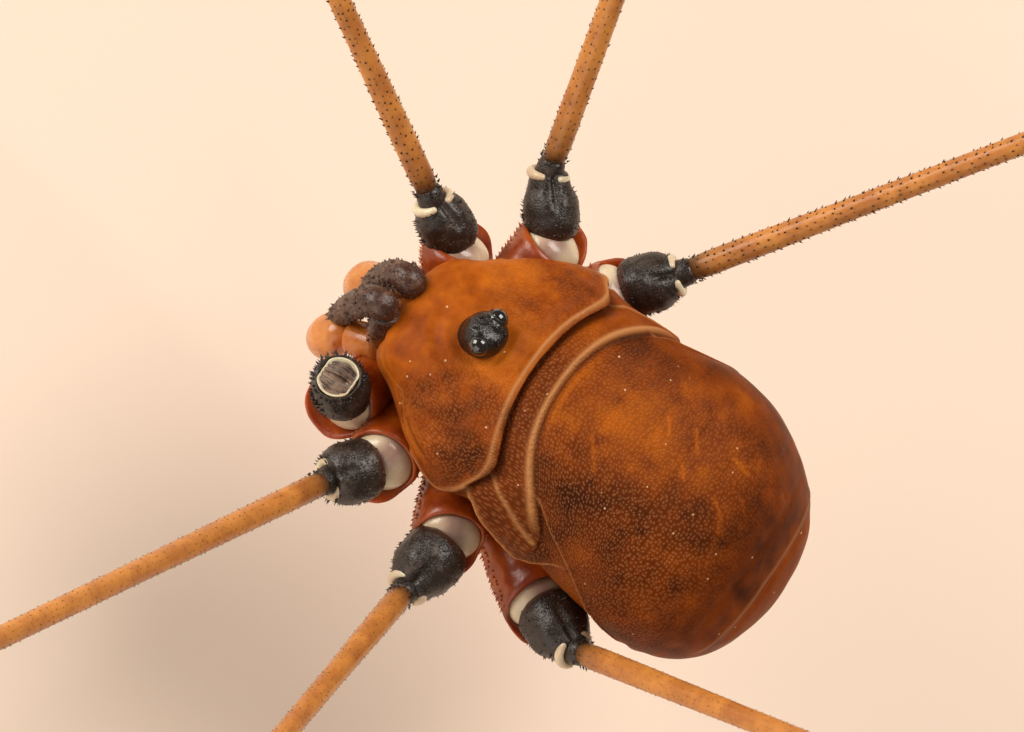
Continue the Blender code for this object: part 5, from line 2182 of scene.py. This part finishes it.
@dataclass
class Chelicerae:
    """The two amber jaws: a stout base and a swollen hand with a black-tipped pincer."""

    shop: Workshop
    base_path: tuple[Row, ...] = (
        (0.30, -0.60, -1.50), (0.34, -0.84, -1.76), (0.39, -1.08, -1.98), (0.42, -1.28, -2.16),
    )
    base_radii: Row = (0.22, 0.25, 0.26, 0.24)
    hand_path: tuple[Row, ...] = (
        (0.42, -1.26, -2.10), (0.43, -1.38, -2.24), (0.45, -1.45, -2.50), (0.45, -1.46, -2.80),
        (0.42, -1.40, -3.04), (0.38, -1.33, -3.17),
    )
    hand_radii: Row = (0.12, 0.26, 0.32, 0.30, 0.23, 0.14)
    finger_path: tuple[Row, ...] = (
        (0.35, -1.31, -3.10), (0.31, -1.28, -3.22), (0.27, -1.26, -3.33), (0.24, -1.25, -3.41),
    )
    thumb_path: tuple[Row, ...] = (
        (0.43, -1.35, -3.08), (0.42, -1.31, -3.23), (0.36, -1.27, -3.35), (0.28, -1.25, -3.43),
    )
    claw_radii: Row = (0.085, 0.07, 0.045, 0.012)
    sideways: float = 0.12

    def build(self, amber: bpy.types.Material) -> list[bpy.types.Object]:
        """The pieces of both jaws, dressed."""
        helper = Palps(self.shop, sideways=self.sideways, twist=0.0, rearward=0.0)
        pieces = []
        for side in Side:
            path, radii = helper.smooth_path(self.base_path, self.base_radii, side, 16)
            base = self.shop.drawn_limb(f"chelicera_base_skin_{side.word}", path, radii, 32)
            self.shop.apply_modifier(base, "SUBSURF", levels=1, render_levels=1)
            pieces.append(self.shop.dress(base, amber))
            path, radii = helper.smooth_path(self.hand_path, self.hand_radii, side, 26)
            hand = self.shop.drawn_limb(f"chelicera_hand_skin_{side.word}", path, radii, 36)
            self.shop.apply_modifier(hand, "SUBSURF", levels=1, render_levels=1)
            claws = []
            for claw_path in (self.finger_path, self.thumb_path):
                path, radii = helper.smooth_path(claw_path, self.claw_radii, side, 12)
                claw = self.shop.drawn_limb("claw", path, radii, 18)
                self.shop.mark_places(claw, "tip", lambda places: smooth_step(-3.14, -3.28, places[:, 2]))
                claws.append(claw)
            hand = self.shop.join(f"chelicera_hand_skin_{side.word}", [hand, *claws])
            pieces.append(self.shop.dress(hand, amber))
        return pieces


# Stage


@dataclass
class PhotoCamera:
    """The camera high over the animal's left side, a long lens close above it."""

    shop: Workshop
    towards: Row = (0.29, -0.10, 0.95)
    rear_share: float = 0.8
    left_share: float = 0.6
    distance_mm: float = 120.0
    pixels_per_mm: float = 75.0
    image_size: tuple[int, int] = (1024, 732)
    mound_pixel: tuple[int, int] = (487, 333)
    sensor_mm: float = 36.0

    def build(self) -> None:
        """Places the camera and makes it the scene's own."""
        back = Vector(self.towards).normalized()
        rear = Vector((0, 1, 0))
        rear = (rear - rear.dot(back) * back).normalized()
        left = rear.cross(back)
        right = (rear * self.rear_share - left * self.left_share).normalized()
        down = (rear * self.left_share + left * self.rear_share).normalized()
        centre = right * (self.image_size[0] / 2 - self.mound_pixel[0]) / self.pixels_per_mm
        centre += down * (self.image_size[1] / 2 - self.mound_pixel[1]) / self.pixels_per_mm
        matrix = Matrix((right, -down, back)).transposed().to_4x4()
        matrix.translation = self.shop.place(centre + back * self.distance_mm)
        lens = bpy.data.cameras.new("photo_camera")
        lens.sensor_width = self.sensor_mm
        lens.lens = self.sensor_mm * self.distance_mm * self.pixels_per_mm / self.image_size[0]
        lens.clip_start = 0.001
        lens.clip_end = 10.0
        camera = bpy.data.objects.new("photo_camera", lens)
        bpy.context.collection.objects.link(camera)
        camera.matrix_world = matrix
        bpy.context.scene.camera = camera
        self.axes = (right, -down, back)


@dataclass
class Studio:
    """A plain pale floor, two soft lamps and a pale surround."""

    shop: Workshop
    floor_half_m: float = 0.35
    surround: Colour = (1.0, 0.86, 0.72)
    surround_strength: float = 0.20
    lamp_distance_m: float = 0.16
    lamp_size_m: float = 0.095
    left_power_w: float = 0.205
    right_power_w: float = 0.215
    low_power_w: float = 0.105
    lamp_colour: Colour = (1.0, 0.95, 0.88)

    def build(self, axes: tuple[Vector, Vector, Vector], floor_finish: bpy.types.Material) -> bpy.types.Object:
        """The floor, the lamps and the surround.

        Args:
            axes: the camera's right, up and back.
            floor_finish: the floor's material.

        Returns:
            The floor.
        """
        bpy.context.scene.view_settings.view_transform = "Standard"
        self.shop.start_clean()
        bpy.ops.mesh.primitive_grid_add(x_subdivisions=8, y_subdivisions=8, size=self.floor_half_m * 2)
        floor = self.shop.dress(self.shop.named("pale_floor"), floor_finish)
        world = bpy.data.worlds.new("pale surround")
        bpy.context.scene.world = world
        world.use_nodes = True
        background = world.node_tree.nodes["Background"]
        background.inputs["Color"].default_value = (*self.surround, 1.0)
        background.inputs["Strength"].default_value = self.surround_strength
        right, up, back = axes
        for name, way, power, size in (
            ("left_lamp", right * -0.66 + up * 0.52 + back * 0.54, self.left_power_w, self.lamp_size_m),
            ("right_lamp", right * 0.62 + up * 0.48 + back * 0.62, self.right_power_w, self.lamp_size_m),
            ("low_lamp", right * -0.50 - up * 0.62 + back * 0.60, self.low_power_w, self.lamp_size_m * 1.6),
        ):
            lamp = bpy.data.lights.new(name, "AREA")
            lamp.energy = power
            lamp.size = size
            lamp.color = self.lamp_colour
            holder = bpy.data.objects.new(name, lamp)
            bpy.context.collection.objects.link(holder)
            way = way.normalized()
            matrix = way.to_track_quat("Z", "Y").to_matrix().to_4x4()
            matrix.translation = self.shop.datum + way * self.lamp_distance_m
            holder.matrix_world = matrix
        return floor


# Putting it together


def body_datum() -> Vector:
    """The middle of the eye mound, found from the boxes of the two eyes."""
    corners = [Vector(corner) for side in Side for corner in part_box(f"eye_{side.word}")]
    middle = sum(corners, Vector()) / len(corners)
    return middle - Vector((0.0, 0.0, 0.04 * MM))


def place_pieces(pieces: list[bpy.types.Object], nodes: list[str], slots: list[str]) -> None:
    """Attaches the pieces to the root body, hides the nodes they replace, and reports them.

    Args:
        pieces: the finished pieces.
        nodes: the nodes that the first of them replaces.
        slots: a material slot name for each piece; not used.
    """
    for piece, slot in zip(pieces, slots):
        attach(piece, "root")
        LOG.info("%s: %d faces", piece.name, len(piece.data.polygons))
    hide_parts(*nodes)


def main() -> None:
    """Builds the animal's looks from the body outwards, then the stage."""
    logging.basicConfig(level=logging.INFO, format="%(message)s")
    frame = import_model()
    LOG.info("%d solids", len(frame["nodes"]))
    shop = Workshop(body_datum())
    wardrobe = Wardrobe()
    place_pieces([Prosoma(shop).build(wardrobe.prosoma)], ["prosoma"], ["orange_cuticle"])
    place_pieces([Abdomen(shop).build(wardrobe.abdomen)], ["abdomen"], ["hind_cuticle"])
    mound, *eyes = EyeMound(shop).build(wardrobe.mound, wardrobe.eye)
    place_pieces([mound], ["eye_mound"], ["mound_black"])
    for eye, side in zip(eyes, Side):
        place_pieces([eye], [f"eye_{side.word}"], ["eye_black"])
    for piece in Palps(shop).build(wardrobe.palp):
        place_pieces([piece], [piece.name.replace("_skin", "")], ["palp_brown"])
    for piece in Chelicerae(shop).build(wardrobe.amber):
        place_pieces([piece], [piece.name.replace("_skin", "")], ["mouth_amber"])
    for plan in LEG_PLANS:
        base = LegBase(shop, plan)
        coxa, membrane, barrel, *extra = base.build(wardrobe)
        place_pieces([coxa, membrane], [f"coxa_{plan.name}"], ["coxa_cuticle", "coxa_cuticle"])
        place_pieces([barrel, *extra], [f"trochanter_{plan.name}"], ["black_cuticle"] * (1 + len(extra)))
        if plan.lengths:
            leg = LongLeg(shop, plan).build(plan.hip, wardrobe.leg)
            names = [f"{part}_{plan.name}" for part in ("femur", "patella", "tibia", "metatarsus", "tarsus")]
            place_pieces([leg], names, ["leg_tan"])
    camera = PhotoCamera(shop)
    camera.build()
    Studio(shop).build(camera.axes, PaleFloor().make())
    shop.start_clean()


if __name__ == "__main__":
    main()
